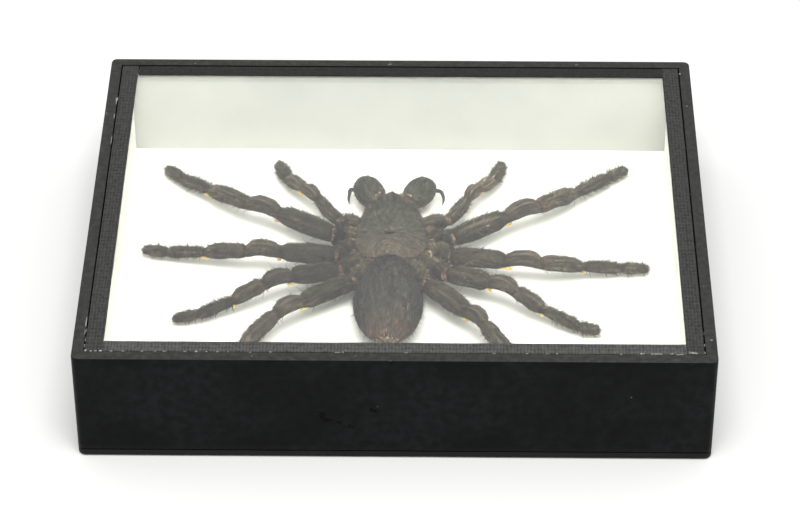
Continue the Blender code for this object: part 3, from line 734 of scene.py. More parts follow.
def comb(skin, surface, coat, rng, weight=1.0):
    """Covers a surface with hairs that lie along its flow in locks and streaks of uneven tone."""
    points, tris, fibre, zone, flow, shade = surface
    a, b, c = (points[tris[:, k]] for k in range(3))
    cross = np.cross(b - a, c - a)
    area = np.linalg.norm(cross, axis=1)
    chance = area * weight * np.clip(cross[:, 2] / area + 0.75, 0.02, 1)
    count = int(coat.density * chance.sum() / 2)
    pick, shares = scatter(chance, count, rng)

    def at_roots(values):
        """Values of the surface's points, blended to the hairs' roots."""
        return (values[tris[pick]] * shares[:, :, None]).sum(1)

    base, normal, fibres = at_roots(points), unit(cross[pick]), at_roots(fibre)
    seed = int(rng.integers(1 << 30))
    lock = cell_values(base / 0.75, seed)
    streak = cell_values(fibres / 0.5, seed + 1)
    along = flow(base) if callable(flow) else np.broadcast_to(flow, base.shape)
    along = unit(along - normal * (along * normal).sum(1, keepdims=True))
    along = along + np.cross(normal, along) * (0.22 * cell_values(base / 1.1, seed + 2))[:, None]
    lift = np.clip(rng.normal(coat.rise, 0.16, count) + 0.22 * lock, 0.04, 1.4)[:, None]
    direction = unit(along * np.cos(lift) + normal * np.sin(lift) + rng.normal(0, coat.spread, base.shape))
    low = (direction * normal).sum(1, keepdims=True) < 0.05
    direction = unit(np.where(low, direction + normal * 0.3, direction))
    size = coat.hair * rng.uniform(0.5, 1.2, count) * np.exp(0.22 * lock)
    radius = coat.radius * rng.uniform(0.65, 1.25, count)
    hair, faces = needles(base - normal * 0.08, direction, size, radius, rng)
    tone = np.exp(0.3 * streak + 0.38 * lock + rng.normal(-0.15, 0.42, count))
    tone = tone * at_roots(np.broadcast_to(shade, len(points))[:, None])[:, 0]
    zones = at_roots(np.broadcast_to(zone, points.shape))
    skin.add(hair, faces, HAIR, np.repeat(fibres, 4, axis=0), np.repeat(zones, 4, axis=0), smooth=False,
             tone=np.repeat(tone, 4))


# ---- box ----

CORNERS = ((1, 1, 0), (-1, 1, 90), (-1, -1, 180), (1, -1, 270))     # signs of x and y, first angle
TAPE_SECTION = (             # share of the strip's half width, share of its half thickness
    (1, 0), (0.985, 0.8), (0.9, 1), (0.5, 1), (0, 1), (-0.5, 1), (-0.9, 1), (-0.985, 0.8), (-1, 0),
    (-0.98, -0.9), (0, -1), (0.98, -0.9),
)


def arc(center, radius, start, end, steps=4):
    """Points of an arc in a plane, from one angle to another in degrees."""
    angles = np.radians(np.linspace(start, end, steps))
    return [(center[0] + radius * math.cos(a), center[1] + radius * math.sin(a)) for a in angles]


def loops_round_box(section, corner):
    """One loop of points round the box, with round corners, for every inset and height of a section."""
    loops = []
    for inset, z in section:
        radius = max(corner - inset, 0.02)
        x, y = HALF_X - inset - radius, HALF_Y - inset - radius
        arcs = [arc((cx * x, cy * y), radius, start, start + 90, 7) for cx, cy, start in CORNERS]
        loop = []
        for here, there in zip(arcs, arcs[1:] + arcs[:1]):
            loop += here + list(np.linspace(here[-1], there[0], 31)[1:-1])
        loops.append(np.column_stack([loop, np.full(len(loop), z)]))
    return np.array(loops)


def make_frame(look, rng):
    """All four walls as the one painted moulding that they look like."""
    low = PANEL + GAP
    section = arc((0.35, low + 0.35), 0.35, 270, 180) + [(0, z) for z in np.linspace(5, 36, 9)]
    section += arc((0.5, PAINT_TOP - 0.5), 0.5, 180, 90, 5) + [(1.5, PAINT_TOP), (2.6, PAINT_TOP)]
    section += arc((LIP - 0.3, PAINT_TOP - 0.3), 0.3, 90, 0) + [(LIP, 38.2), (LIP, LEDGE + 0.05)]
    section += [(LIP + 0.05, LEDGE), (WALL - 0.2, LEDGE), (WALL, LEDGE - 0.2)]
    section += [(WALL, 20.0), (WALL, low + 0.2), (WALL - 0.2, low), (2.0, low)]
    grid = loops_round_box(section, 2.0)
    rows, columns, _ = grid.shape
    points = grid.reshape(-1, 3)
    wobble = ripple(points[:, 0] * 0.07, points[:, 1] * 0.09 + points[:, 2] * 0.05, rng, 1.0) - 1
    outside = (np.array([inset for inset, _ in section]) < 0.4).repeat(columns)
    points[:, :2] *= 1 - 0.00035 * (np.abs(wobble) * outside)[:, None]
    tris = facing_out(points, grid_tris(rows + 1, columns) % len(points))
    walls = ["wall_front", "wall_back", "wall_left", "wall_right"]
    sharpen(single("frame_moulding", (points, tris), look, "black_paint", walls))


def make_board(look):
    """The back panel with slightly worn corners and softened edges."""
    section = ((0.3, 0.0), (0.08, 0.08), (0.0, 0.3), (0.0, PANEL - 0.25), (0.07, PANEL - 0.07), (0.25, PANEL))
    shape = capped(loops_round_box(section, 2.4))
    sharpen(single("back_board", shape, look, "black_paint", ["back_panel"]))


def soft_box(low, high, edge):
    """A flat sheet with rounded edges, as stacked rounded rectangles along Z."""
    low, high = np.array(low), np.array(high)
    middle, half = (low + high) / 2, (high - low) / 2
    steps = [(edge * (1 - math.sin(a)), edge * (1 - math.cos(a))) for a in np.radians((0, 30, 60, 90))]
    section = [(inset, up - half[2]) for inset, up in steps]
    section += [(inset, half[2] - up) for inset, up in reversed(steps)]
    rings = []
    for inset, z in section:
        ring = []
        for cx, cy, start in CORNERS:
            ring += arc((cx * (half[0] - edge), cy * (half[1] - edge)), edge - inset, start, start + 90)
        rings.append([(x, y, z) for x, y in ring])
    points, tris = capped(np.array(rings))
    return points + middle, tris


def make_cards(backing, lining, side_lining):
    """The white backing and the card strips that line the walls."""
    x = HALF_X - WALL - GAP
    y = HALF_Y - WALL - GAP
    between = y - LINING - GAP
    foot = FLOOR + 0.05
    sheets = (
        ("backing", (-x, -y, PANEL + GAP), (x, y, FLOOR), backing),
        ("lining_front", (-x, -y, foot), (x, LINING - y, LEDGE), lining),
        ("lining_back", (-x, y - LINING, foot), (x, y, LEDGE), lining),
        ("lining_left", (-x, -between, foot), (LINING - x, between, LEDGE), side_lining),
        ("lining_right", (x - LINING, -between, foot), (x, between, LEDGE), side_lining),
    )
    for node, low, high, look in sheets:
        single(node + "_card", soft_box(low, high, 0.12), look, "white_card", [node], smooth=False)


def make_glass(look):
    x, y = HALF_X - GLASS_INSET, HALF_Y - GLASS_INSET
    shape = soft_box((-x, -y, GLASS_LOW), (x, y, GLASS_HIGH), 0.15)
    single("glass_pane", shape, look, "clear_glass", ["glass"], smooth=False).visible_shadow = False


def make_tape(look, rng):
    """Strips of cloth tape over the edge of the glass. The side strips run its full depth."""
    x, y = HALF_X - TAPE_OUTER, HALF_Y - TAPE_OUTER
    reach = TAPE_INNER_X + TAPE_TUCK
    # How light a strip is stands for painted light: the near strip is painted lighter and the far strip
    # darker than the cloth.
    strips = (      # node, near left and far right corner, the axis it runs along, how light it is
        ("tape_left", (-x, -y), (-TAPE_INNER_X, y), 1, 1.0),
        ("tape_right", (TAPE_INNER_X, -y), (x, y), 1, 1.0),
        ("tape_front", (-reach, -y), (reach, TAPE_FRONT_Y), 0, 1.75),
        ("tape_back", (GAP - TAPE_INNER_X, TAPE_BACK_Y), (reach, y), 0, 0.5),
    )
    across, up = np.array(TAPE_SECTION)[None].transpose(2, 0, 1)
    for node, low, high, axis, tone in strips:
        low, high = np.array(low), np.array(high)
        half, middle = (high - low)[1 - axis] / 2, (high + low)[1 - axis] / 2
        run = np.linspace(0, 1, 150)[:, None] * (high - low)[axis]
        edge = 0.05 * (ripple(across * 1.5, run * 0.5, rng, 1.0) - 1)
        edge = edge + rng.normal(0, 0.012, edge.shape)
        side = middle + across * (half - 0.05) + edge * (np.abs(across) > 0.8)
        swell = 0.05 * (ripple(across * 2, run * 0.2, rng, 1.0) - 1)
        height = (TAPE_LOW + TAPE_HIGH + (TAPE_HIGH - TAPE_LOW) * up) / 2 + swell * (up > 0)
        run = low[axis] + run + 0 * side
        places = (run, side) if axis == 0 else (side, run)
        shape = capped(np.stack([*places, height], -1))
        sharpen(single(node + "_strip", shape, look, "cloth_tape", [node], tone=tone), 50)


# ---- limbs ----

# Where the segments sit: segment, the way it follows, the joint it starts from, and how far its start
# and its end lie past their joints. It ends at the joint that its way leads to.
LEG_SEGMENTS = ((COXA, 0, 0, -0.8, -2.4), (TROCHANTER, 0, 1, -1.9, 0.5), (FEMUR, 1, 1, 1.9, -1.2),
                (PATELLA, 2, 2, 0.0, -0.8), (TIBIA, 3, 3, 0.2, -0.7), (METATARSUS, 4, 4, 0.2, -0.4),
                (TARSUS, 5, 5, 0.2, -0.9))
PALP_SHIFTS = ((-0.8, -1.2), (0.9, -0.9), (0.0, -0.6), (0.2, -0.5), (0.2, -0.9))
LEG_SKIN = ((2, 1.75), (3, 1.65), (4, 1.25), (5, 1.05))     # joint and radius of its soft skin
PALP_SKIN = ((1, 1.7), (2, 1.4), (3, 1.3), (4, 1.2))


def ridge(value, at, width):
    """1 where the value is at its place, falling to 0 on both sides."""
    return np.exp(-((value - at) / width) ** 2)


def segment_marks(spec, turn, along, length, rng):
    """Swelling, brown, red, pale and shade over a segment. Turn counts half turns, and 0.5 is the top."""
    share = along / length
    body = clip(4 * share * (1 - share))
    rough = spec.marks == "rough"
    shape = ripple(turn * math.pi, along * 0.9, rng, 0.2 if rough else 0.12)
    brown, red, pale, shade = (value + 0 * shape for value in (spec.brown, 0.0, 0.0, 1.0))

    def stripe(off_top, width):
        """A line along the segment that fades out at its ends."""
        return ridge(turn, 0.5 + off_top, width) * body

    for side in (-1, 1):
        if spec.marks == "femur":
            shape -= 0.06 * stripe(side * 0.2, 0.045)
            pale += rng.uniform(0.15, 0.4) * stripe(side * rng.uniform(0.08, 0.2), 0.016)
            brown += 0.5 * stripe(side * 0.27, 0.04)
            shade -= 0.4 * stripe(side * rng.uniform(0.2, 0.3), 0.03)
        if spec.marks == "patella":
            shape -= 0.07 * stripe(side * 0.15, 0.035)
            pale += rng.uniform(0.25, 0.5) * stripe(side * 0.1, 0.03)
            shade -= 0.65 * stripe(side * 0.19, 0.04)
        if spec.marks == "tibia":
            shape -= 0.05 * stripe(side * 0.17, 0.05)
            pale += 0.15 * stripe(side * 0.12, 0.02)
            pale += rng.uniform(0.1, 0.6) * ridge(turn, 0.5 + side * 0.16, 0.08) * ridge(share, 0.86, 0.06)
            shade -= 0.35 * stripe(side * 0.22, 0.035)
    if spec.marks == "patella":
        shape += 0.05 * stripe(0, 0.06)
        shade -= 0.55 * stripe(0, 0.025)
    if spec.marks == "tibia":
        red += rng.uniform(0.05, 0.2) * ridge(share, 0.06, 0.09)
    if rough:
        red += 0.06 * clip(ripple(turn * math.pi, along * 1.3, rng, 3.0) - 1.5)
    shape += 0.06 * ridge(share, 0.93, 0.06) * (ridge(turn, 0.25, 0.12) + ridge(turn, 0.75, 0.12))
    rim = np.exp(-(along / 0.6) ** 2) + np.exp(-((length - along) / 0.45) ** 2)
    red += 0.08 * rim * rng.uniform(0.4, 1.0)
    shade = np.clip(shade - 0.55 * rim, 0.2, 1)
    # Painted shade: coxae and trochanters darker on their lower sides and between each other, lighter on top.
    if rough:
        shade *= 0.25 + 0.9 * clip(np.sin(turn * math.pi)) ** 1.5
    return shape, brown, red, pale, shade


def limb_segment(start, end, spec, girth, rng):
    """One hard segment of a limb as a closed surface."""
    length = float(np.linalg.norm(end - start))
    way = (end - start) / length
    rise = np.sin(np.linspace(-math.pi / 2, 0, 7)[:-1]) * 0.995
    along = np.concatenate([spec.before * rise, np.linspace(0, length, 24), length - spec.after * rise[::-1]])
    closing = np.sqrt(1 - rise ** 2)
    closing = np.concatenate([closing, np.ones(24), closing[::-1]])[:, None]
    radius, lift = smooth_table(clip(along / length), spec.table).T
    middle = start + way * along[:, None] + UP * lift[:, None]
    heading = unit(np.gradient(middle, axis=0))
    along = along[:, None]
    theta = circle(26)
    shape, brown, red, pale, shade = segment_marks(spec, theta / math.pi, along, length, rng)
    wide, tall = np.cos(theta), np.sin(theta)
    brown -= 0.25 * (tall < -0.2) + 0.3 * (1 - closing)
    reach = radius[:, None] * girth * closing * shape
    wide, tall = reach * wide, reach * tall * spec.tall
    points, tris = capped(tube(middle, heading, wide, tall))
    fibre = with_ends(np.stack([along * 0.09 + 0 * wide, wide, tall], -1)) + rng.uniform(-50, 50, 3)
    zone = with_ends(clip(np.stack([brown, red, pale], -1)))
    return Surface(points, tris, fibre, zone, way, with_ends(shade))


def put_segment(skin, start, end, spec, girth, tone, rng):
    """One segment with its coat, its bristles and its upright hairs."""
    surface = limb_segment(start, end, spec, girth, rng)
    bald = surface.zone[surface.tris].mean(1)[:, 2]
    light = surface.shade[surface.tris].mean(1)
    cover = np.clip(1 - 2.2 * bald, 0.12, 1) * np.clip(light * 2 - 0.7, 0.12, 1)
    surface = surface._replace(shade=surface.shade * spec.tone * tone)
    skin.lay(surface)
    comb(skin, surface, Coat(spec.density, spec.hair, spec.rise), rng, cover)
    surface = surface._replace(shade=surface.shade * 0.9)
    bristles = spec.density * (0.24 if spec.marks == "plain" else 0.07)
    comb(skin, surface, Coat(bristles, spec.hair * 2, spec.rise + 0.4, 0.11), rng)
    comb(skin, surface, Coat(spec.density * 0.14, spec.hair, 0.95, 0.09, 0.3), rng)


def put_joint(skin, at, way, radius, rng, depth=0.6):
    """Soft folded skin between two segments."""
    across, up = beside(way)
    points, tris = blob((0, 0, 0), (radius * depth, radius, radius), rng, 26, 16, 0.2)
    points = points @ np.stack([way, across, -up]) + at
    skin.add(points, tris, MEMBRANE)
    comb(skin, Surface(points, tris, points, (0.2, 0.0, 0.0), way), JOINT_COAT, rng)


def put_amber(skin, at, way, radius, size, rng):
    """The pale edge of thin skin that shows under the near side of a joint."""
    side = unit(np.array((way[1], -way[0], 0.0)))
    if side[1] > 0:
        side = -side
    center = at + side * radius * 0.62 - UP * radius * 0.62
    turn = math.atan2(way[1], way[0])
    skin.add(*blob(center, (1.5 * size, 0.45 + 0.2 * size, 0.55), rng, 14, 8, 0.2, turn), AMBER)


def put_tip(skin, tip, way, radius, rng):
    """Two small claws almost hidden in the pad of short hair at the end of a limb."""
    points, tris = blob(tip - way * 0.3, (radius, radius, radius * 0.9), rng, 18, 10, 0.08)
    surface = Surface(points, tris, points + rng.uniform(-50, 50, 3), (0.35, 0.12, 0.0), way)
    skin.lay(surface)
    comb(skin, surface, PAD_COAT, rng)
    for turn in (-0.5, 0.5):
        out = unit(way + np.cross(way, UP) * turn)
        root, direction = np.array([tip + out * 0.3]), unit(np.array([out - UP * 0.6]))
        skin.add(*needles(root, direction, np.array([1.3]), np.array([0.14]), rng), HORN, smooth=False)


def put_tuft(skin, at, rng):
    """The lock of hairs above the root of a palp."""
    base = at + rng.normal(0, 1, (60, 3)) * (1.2, 0.5, 0.3)
    direction = unit((0.1, 0.8, 0.6) + rng.normal(0, 0.18, (60, 3)))
    hair, faces = needles(base, direction, 1.6 * rng.uniform(0.6, 1.2, 60), np.full(60, 0.055), rng)
    skin.add(hair, faces, HAIR, np.repeat(rng.uniform(-50, 50, (60, 3)), 4, axis=0), smooth=False)


def start_limb(joints, heights, segments, girth, tones, rng):
    """The joints of a limb, the ways between them and a skin with all its segments."""
    line = [np.array((*plan, FLOOR + height)) for plan, height in zip(joints, heights)]
    ways = [unit(b - a) for a, b in zip(line[:-1], line[1:])]
    skin = Skin()
    for (spec, i, first, shift, end_shift), tone in zip(segments, tones):
        start, end = line[first] + ways[i] * shift, line[i + 1] + ways[i] * end_shift
        put_segment(skin, start, end, spec, girth, tone, rng)
    return line, ways, skin


def make_leg(name, joints, materials, seed):
    rng = np.random.default_rng(seed)
    pair = name[4]
    girth, look = LEG_GIRTH[pair], LEG_LOOKS[name]
    tones = [look.tone * share for share in (look.coxa, look.trochanter, 1, 1, 1, 1, 1)]
    line, ways, skin = start_limb(joints, LEG_HEIGHTS, LEG_SEGMENTS, girth, tones, rng)
    put_joint(skin, line[1] - ways[0] * 2.2, ways[0], 2.35 * girth, rng)
    radius, depth = (2.85, 0.85) if pair in "34" else (2.45, 0.6)
    put_joint(skin, line[1] + ways[1] * 0.7, ways[1], radius * girth, rng, depth)
    for i, radius in LEG_SKIN:
        put_joint(skin, line[i], ways[i], radius * girth, rng)
    put_amber(skin, line[2], ways[2], 2.7 * girth, look.knee, rng)
    if look.ankle:
        put_amber(skin, line[4], ways[4], 1.9 * girth, look.ankle, rng)
    put_tip(skin, line[6] - ways[5] * 0.8, ways[5], 1.35 * girth, rng)
    skin.build(name + "_fur", materials, "hide", [name])


def make_palp(name, joints, materials, seed):
    rng = np.random.default_rng(seed)
    tone, yellow = PALP_LOOKS[name]
    segments = [(spec, i, i, *shifts) for i, (spec, shifts) in enumerate(zip(PALP_SEGMENTS, PALP_SHIFTS))]
    line, ways, skin = start_limb(joints, PALP_HEIGHTS, segments, 1.0, [tone] * 5, rng)
    for i, radius in PALP_SKIN:
        put_joint(skin, line[i], ways[i], radius, rng)
    put_amber(skin, line[3], ways[3], 2.0, yellow, rng)
    put_tip(skin, line[5] - ways[4] * 0.8, ways[4], 1.45, rng)
    put_tuft(skin, line[0] + ways[0] * 3.0 + (0, 0.8, 2.2), rng)
    skin.build(name + "_fur", materials, "hide", [name])


# ---- body ----

def hill(x, y, middle_y, reach_x, reach_y, middle_x=0.0):
    """1 in the middle of an oval, falling to 0 around it."""
    return np.exp(-((x - middle_x) / reach_x) ** 2 - ((y - middle_y) / reach_y) ** 2)


def power(value, exponent):
    return np.sign(value) * np.abs(value) ** exponent


def whorl(x, y):
    """Arched lines like a fingerprint behind the fovea, from -1 to 1."""
    reach = np.hypot(x - FOVEA[0], y - WHORL_Y)
    lines = np.sin(reach * 2 * math.pi / 1.15)
    return lines * clip((reach - 1.5) / 2) * clip((WHORL_REACH - 0.3 - reach) / 1.5) * clip(-y - 5.5)


def carapace(rows, columns):
    """The carapace's top and rolled edge, about its own middle; fovea, furrows and head relief."""
    angle = circle(columns)
    share = np.array(rows)[:, None]
    sine = np.sin(angle)
    exponent = np.where(sine > 0, 2 / 4.0, 2 / 2.8)
    along = power(sine, exponent)
    across = power(np.cos(angle), exponent) * (1 - 0.24 * along)
    x = CARAPACE_HALF[0] * across * share
    y = CARAPACE_HALF[1] * along * share
    front = np.maximum(0, sine) ** 2
    z = 6.2 + 3.0 * front + (3.4 - 2.2 * front) * (1 - share ** 2.4)
    z = z + 1.2 * hill(x, y, 5.8, 6.0, 6.5) + 2.9 * hill(x, y, *TUBERCLE)
    furrow = 0.5 - 0.5 * np.cos(8 * (angle + math.pi / 2))
    z = z - 1.1 * furrow * share * (1 - share) * (1 - front)
    groove = np.abs(np.abs(x) - (1.6 + 0.42 * np.clip(y + 4.7, 0, 14)))
    z = z - 0.16 * np.exp(-(groove / 0.9) ** 2) * clip((y + 4.7) / 3) * clip((11 - y) / 5)
    z = z - 1.3 * hill(x, y, FOVEA[1] + 0.05 * (x - FOVEA[0]) ** 2, 1.7, 0.5, FOVEA[0])
    z = z + 0.25 * hill(x, y, FOVEA[1] + 1.0, 1.6, 0.5, FOVEA[0])
    z = z + 0.09 * whorl(x, y)
    z = z + 0.22 * np.exp(-((share - 0.965) / 0.02) ** 2)
    return x, y, z, angle, share


def prosoma_shape(rng):
    """The carapace on the plain sternum, about the prosoma's middle."""
    rows = np.concatenate([np.linspace(0.03, 0.9, 44), [0.92, 0.94, 0.955, 0.97, 0.985, 1.0]])
    x, y, z, angle, share = carapace(rows, 144)
    z = z + 0.06 * (ripple(angle * 3, share * 25, rng, 1.0) - 1)
    rings = list(np.stack([x, y, z], -1))
    rim = rings[-1]
    for scale, height in ((0.995, 5.8), (0.97, 5.2), (0.88, 4.2), (0.72, 2.6), (0.55, 1.1), (0.3, 0.8)):
        ring = rim * (scale, scale, 1)
        ring[:, 2] = np.minimum(height, rim[:, 2] - 0.3)
        rings.append(ring)
    return capped(np.array(rings))


def carapace_flow(base):
    """Away from the fovea, straight ahead on the head and along the arched lines behind."""
    place = base - (BODY_X, CARAPACE_Y, FLOOR)
    flow = place - (*FOVEA, 0)
    flow[:, 2] = 0
    head = clip(place[:, 1:2] / 8)
    flow = unit(flow) * (1 - head) + np.array((0.0, 1.0, 0.0)) * head
    spot = place - (FOVEA[0], WHORL_Y, 0)
    around = unit(np.stack([spot[:, 1], -spot[:, 0], 0 * spot[:, 0]], 1)) * np.sign(spot[:, :1])
    share = clip((WHORL_REACH - np.hypot(spot[:, 0], spot[:, 1])) / 1.5) * (spot[:, 1] < WHORL_REACH - 0.3)
    return flow * (1 - share[:, None]) + around * share[:, None]


def carapace_look(x, y):
    """Fibre coordinates, colour zones and shade of the prosoma's points."""
    off_x, off_y = x - FOVEA[0], y - FOVEA[1]
    turn = np.arctan2(off_y, off_x)
    fibre = np.stack([np.cos(turn) * 11, np.sin(turn) * 11, np.hypot(off_x, off_y) * 0.3], 1)
    reach = np.hypot(off_x, y - WHORL_Y)
    lined = clip((WHORL_REACH - reach) / 1.5) * clip(-y - 5.5)
    swirl = np.stack([reach, np.arctan2(y - WHORL_Y, off_x), 0 * reach], 1)
    fibre = fibre * (1 - lined[:, None]) + swirl * lined[:, None]
    behind = clip(-off_y / 6) * np.exp(-(off_x / 5.5) ** 2)
    outer = np.hypot(x / CARAPACE_HALF[0], y / CARAPACE_HALF[1])
    brown = 0.35 + 0.2 * clip(-y / 12) + 0.2 * behind
    red = 0.1 * clip((outer - 0.88) / 0.1) + 0.07 * behind + 0.2 * clip((y - 13.2) / 1.5)
    # Two pale spots just in front of the fovea are painted highlights.
    pale = sum(0.4 * hill(off_x, off_y, 1.1, 0.45, 0.4, side) for side in (-1.1, 1.0))
    shade = 1.0 - 0.3 * clip((y - 1) / 8) + 0.15 * behind + 0.35 * whorl(x, y)
    # Painted shade in and around the fovea.
    shade = shade * (1 - 0.7 * hill(off_x, off_y, 0.0, 2.0, 0.6))
    return fibre, clip(np.stack([brown, red, pale], 1)), shade


def make_prosoma(materials):
    rng = np.random.default_rng(41)
    middle = np.array((BODY_X, CARAPACE_Y, FLOOR))
    points, tris = prosoma_shape(rng)
    fibre, zone, shade = carapace_look(points[:, 0], points[:, 1])
    surface = Surface(points + middle, tris, fibre, zone, carapace_flow, shade)
    skin = Skin()
    skin.lay(surface)
    x, y, z = points[tris].mean(1).T
    at_slit = np.hypot(x - FOVEA[0], (y - FOVEA[1]) * 1.6) < 2.0
    upper = (z > 5.5) * (1.0 - 0.96 * at_slit)
    comb(skin, surface, CARAPACE_COAT, rng, upper + 1e-6)
    edge = (np.hypot(x / CARAPACE_HALF[0], y / CARAPACE_HALF[1]) > 0.9) * (z > 5)
    comb(skin, surface._replace(shade=1.0), CARAPACE_FRINGE, rng, edge + 1e-6)
    # A near-black lump sunk in the fovea: painted shade in the pit.
    slit, faces = blob(middle + (*FOVEA, 9.1), (1.65, 0.36, 0.35), rng, 22, 8, 0.1)
    slit[:, 1] += 0.05 * (slit[:, 0] - BODY_X - FOVEA[0]) ** 2
    skin.add(slit, faces, CUTICLE, tone=0.08)
    for side, roots in ((-1, ROOTS["left"]), (1, ROOTS["right"])):
        for (x0, y0), (x1, y1) in zip(roots[:-1], roots[1:]):
            at = ((x0 + x1) / 2 + side * 0.6, (y0 + y1) / 2, FLOOR + 4.0)
            skin.add(*blob(at, (2.6, 1.7, 2.7), rng, 20, 12, 0.22), MEMBRANE)
    for x, y, size in EYES:
        height = 9.75 + 2.2 * hill(x, y, *TUBERCLE)
        for side in (-1, 1):
            at = middle + (side * x, y, height)
            skin.add(*blob(at, (size, size, size * 0.85), rng, 14, 9, 0.0), HORN)
    skin.build("prosoma_fur", materials, "hide", ["prosoma"])


def egg(half, taper, end_taper, bluntness, rows, columns, rng):
    """A long egg along Y with lengthwise wrinkles."""
    phi = np.linspace(0.03, math.pi - 0.03, rows)[:, None]
    theta = circle(columns)
    y = np.cos(phi) + 0 * theta
    slim = (1 - taper * y) * (1 - end_taper * np.maximum(0, -y) ** 3)
    slim = slim * np.maximum(1 - y * y, 0.01) ** -bluntness
    waves = ((9, 1.0), (17, -1.5), (26, 2.0), (39, -0.8))
    lines = sum(np.sin(turns * theta + rng.uniform(0, 6.3) + drift * y) for turns, drift in waves) / 4
    slim = slim * (1 + 0.012 * lines * np.sin(phi)) * np.sin(phi)
    return capped(np.stack([np.cos(theta) * half[0] * slim, y * half[1], np.sin(theta) * half[2] * slim], -1))


def make_chelicera(name, materials, seed):
    rng = np.random.default_rng(seed)
    place, heading, tone = CHELICERAE[name]
    half = np.array(CHELICERA_HALF) - 0.2
    points, tris = egg(half, -0.02, 0.0, 0.08, 40, 44, rng)
    fibre = points * (1.0, 0.12, 1.0) + rng.uniform(-40, 40, 3)
    lower = clip(-points[:, 2] / half[2])
    root = clip((-points[:, 1] / half[1] - 0.3) / 0.5)
    zone = np.stack([0.15 + 0.3 * root, clip(0.6 * lower), 0 * lower], 1)
    turn = math.radians(heading - 90)
    c, s = math.cos(turn), math.sin(turn)
    world = points @ np.array(((c, s, 0), (-s, c, 0), (0, 0, 1))) + place + (0, 0, FLOOR)
    surface = Surface(world, tris, fibre, zone, np.array((-s, c, 0)), tone)
    skin = Skin()
    skin.lay(surface)
    comb(skin, surface, CHELICERA_COAT, rng)
    comb(skin, surface, CHELICERA_BRISTLES, rng)
    # Pale bald skin and painted highlights at the chelicera's root.
    for x, y, z, size in BALD_AND_GLINT_SPOTS[name]:
        skin.add(*blob((x, y, FLOOR + z), (size, size * 0.75, size * 0.5), rng, 14, 8, 0.25, turn), BALD_AND_GLINT_SLOT)
    skin.build(name + "_fur", materials, "hide", [name])


def make_fang(name, plan, materials):
    rng = np.random.default_rng(7)
    knots = np.array([(*place, FLOOR + height) for place, height in zip(plan, FANG_HEIGHTS)])
    table = np.column_stack([np.linspace(0, 1, 5), knots, FANG_RADII])
    values = smooth_table(np.linspace(0, 1, 40), table)
    middle, radius = values[:, :3], values[:, 3:]
    theta = circle(18)
    heading = unit(np.gradient(middle, axis=0))
    skin = Skin()
    skin.add(*capped(tube(middle, heading, np.cos(theta) * radius, np.sin(theta) * radius * 0.8)))
    skin.add(*blob(knots[0], (0.9, 0.75, 0.8), rng, 16, 10, 0.1), FANG_ROOT_SLOT)
    skin.build(name + "_horn", materials, "horn", [name])


def distance_to(points, start, end):
    """Distance of points to the line between two places."""
    start, way = np.array(start), np.subtract(end, start)
    share = clip((points - start) @ way / (way @ way))
    return np.linalg.norm(points - start - share[:, None] * way, axis=1)


def abdomen_flow(base):
    """Rearward, drawn together towards the spinnerets."""
    place = base - ABDOMEN_AT
    pull = place * (-0.045, 0, 0)
    return pull * clip(-place[:, 1:2] / 20) + (0, -1, 0)


def make_abdomen(materials):
    rng = np.random.default_rng(91)
    half = np.array(ABDOMEN_HALF) - (0.35, 0.3, 0.3)
    points, tris = egg(half, 0.12, 0.17, 0.0, 90, 110, rng)
    x, y, z = (points / half).T
    rear = clip((-y - 0.45) / 0.5)
    brown = 0.12 + 0.22 * clip(z) ** 2 + 0.45 * rear
    red = 0.08 * rear ** 2
    for start, end, depth in RUSTY_STREAKS:
        red = red + depth * np.exp(-(distance_to(points[:, :2], start, end) / 0.35) ** 2) * (z > 0)
    zone = clip(np.stack([brown, red, 0 * rear], 1))
    shade = 1.0 - 1.2 * np.clip(np.abs(x) - 0.75, 0, 0.25) - 0.15 * clip(y)
    world = points + ABDOMEN_AT + (0, 0, FLOOR)
    surface = Surface(world, tris, points * (0.9, 0.1, 0.9), zone, abdomen_flow, shade)
    skin = Skin()
    skin.lay(surface)
    comb(skin, surface, ABDOMEN_COAT, rng)
    _, y, z = points[tris].mean(1).T
    behind = clip(-y / half[1]) ** 2 * (z > -3)
    fringe = surface._replace(zone=clip(zone + (0.2, 0.12, 0.0)), shade=1.0)
    comb(skin, fringe, ABDOMEN_FRINGE, rng, behind + 1e-6)
    comb(skin, surface._replace(shade=1.0), ABDOMEN_BRISTLES, rng)
    for root, tip, root_radius, tip_radius in SPINNERETS:
        for side in (-1, 1):
            start, end = ((ABDOMEN_AT[0] + side * x, y, FLOOR + z) for x, y, z in (root, tip))
            points, tris = cone(np.array(start), np.array(end), root_radius, tip_radius, rng)
            surface = Surface(points, tris, points * (1, 0.3, 1), (0.7, 0.15, 0.35), (0.0, -1.0, 0.0))
            skin.lay(surface)
            comb(skin, surface._replace(fibre=points), SPINNERET_COAT, rng)
    for x, y, z, size in SILK:
        skin.add(*blob((x, y, FLOOR + z), (size, size * 0.8, size * 0.6), rng, 12, 8, 0.25), SILK_SLOT)
    front, back = np.array((BODY_X, 3.1, FLOOR + 4.6)), np.array((BODY_X, -1.0, FLOOR + 6.2))
    skin.add(*cone(back, front, 3.4, 2.0, rng), CUTICLE, zone=(0.3, 0.2, 0.0))
    skin.build("abdomen_fur", materials, "velvet", ["abdomen"])


# ---- small finds: glue, nicks, dust and painted glints ----

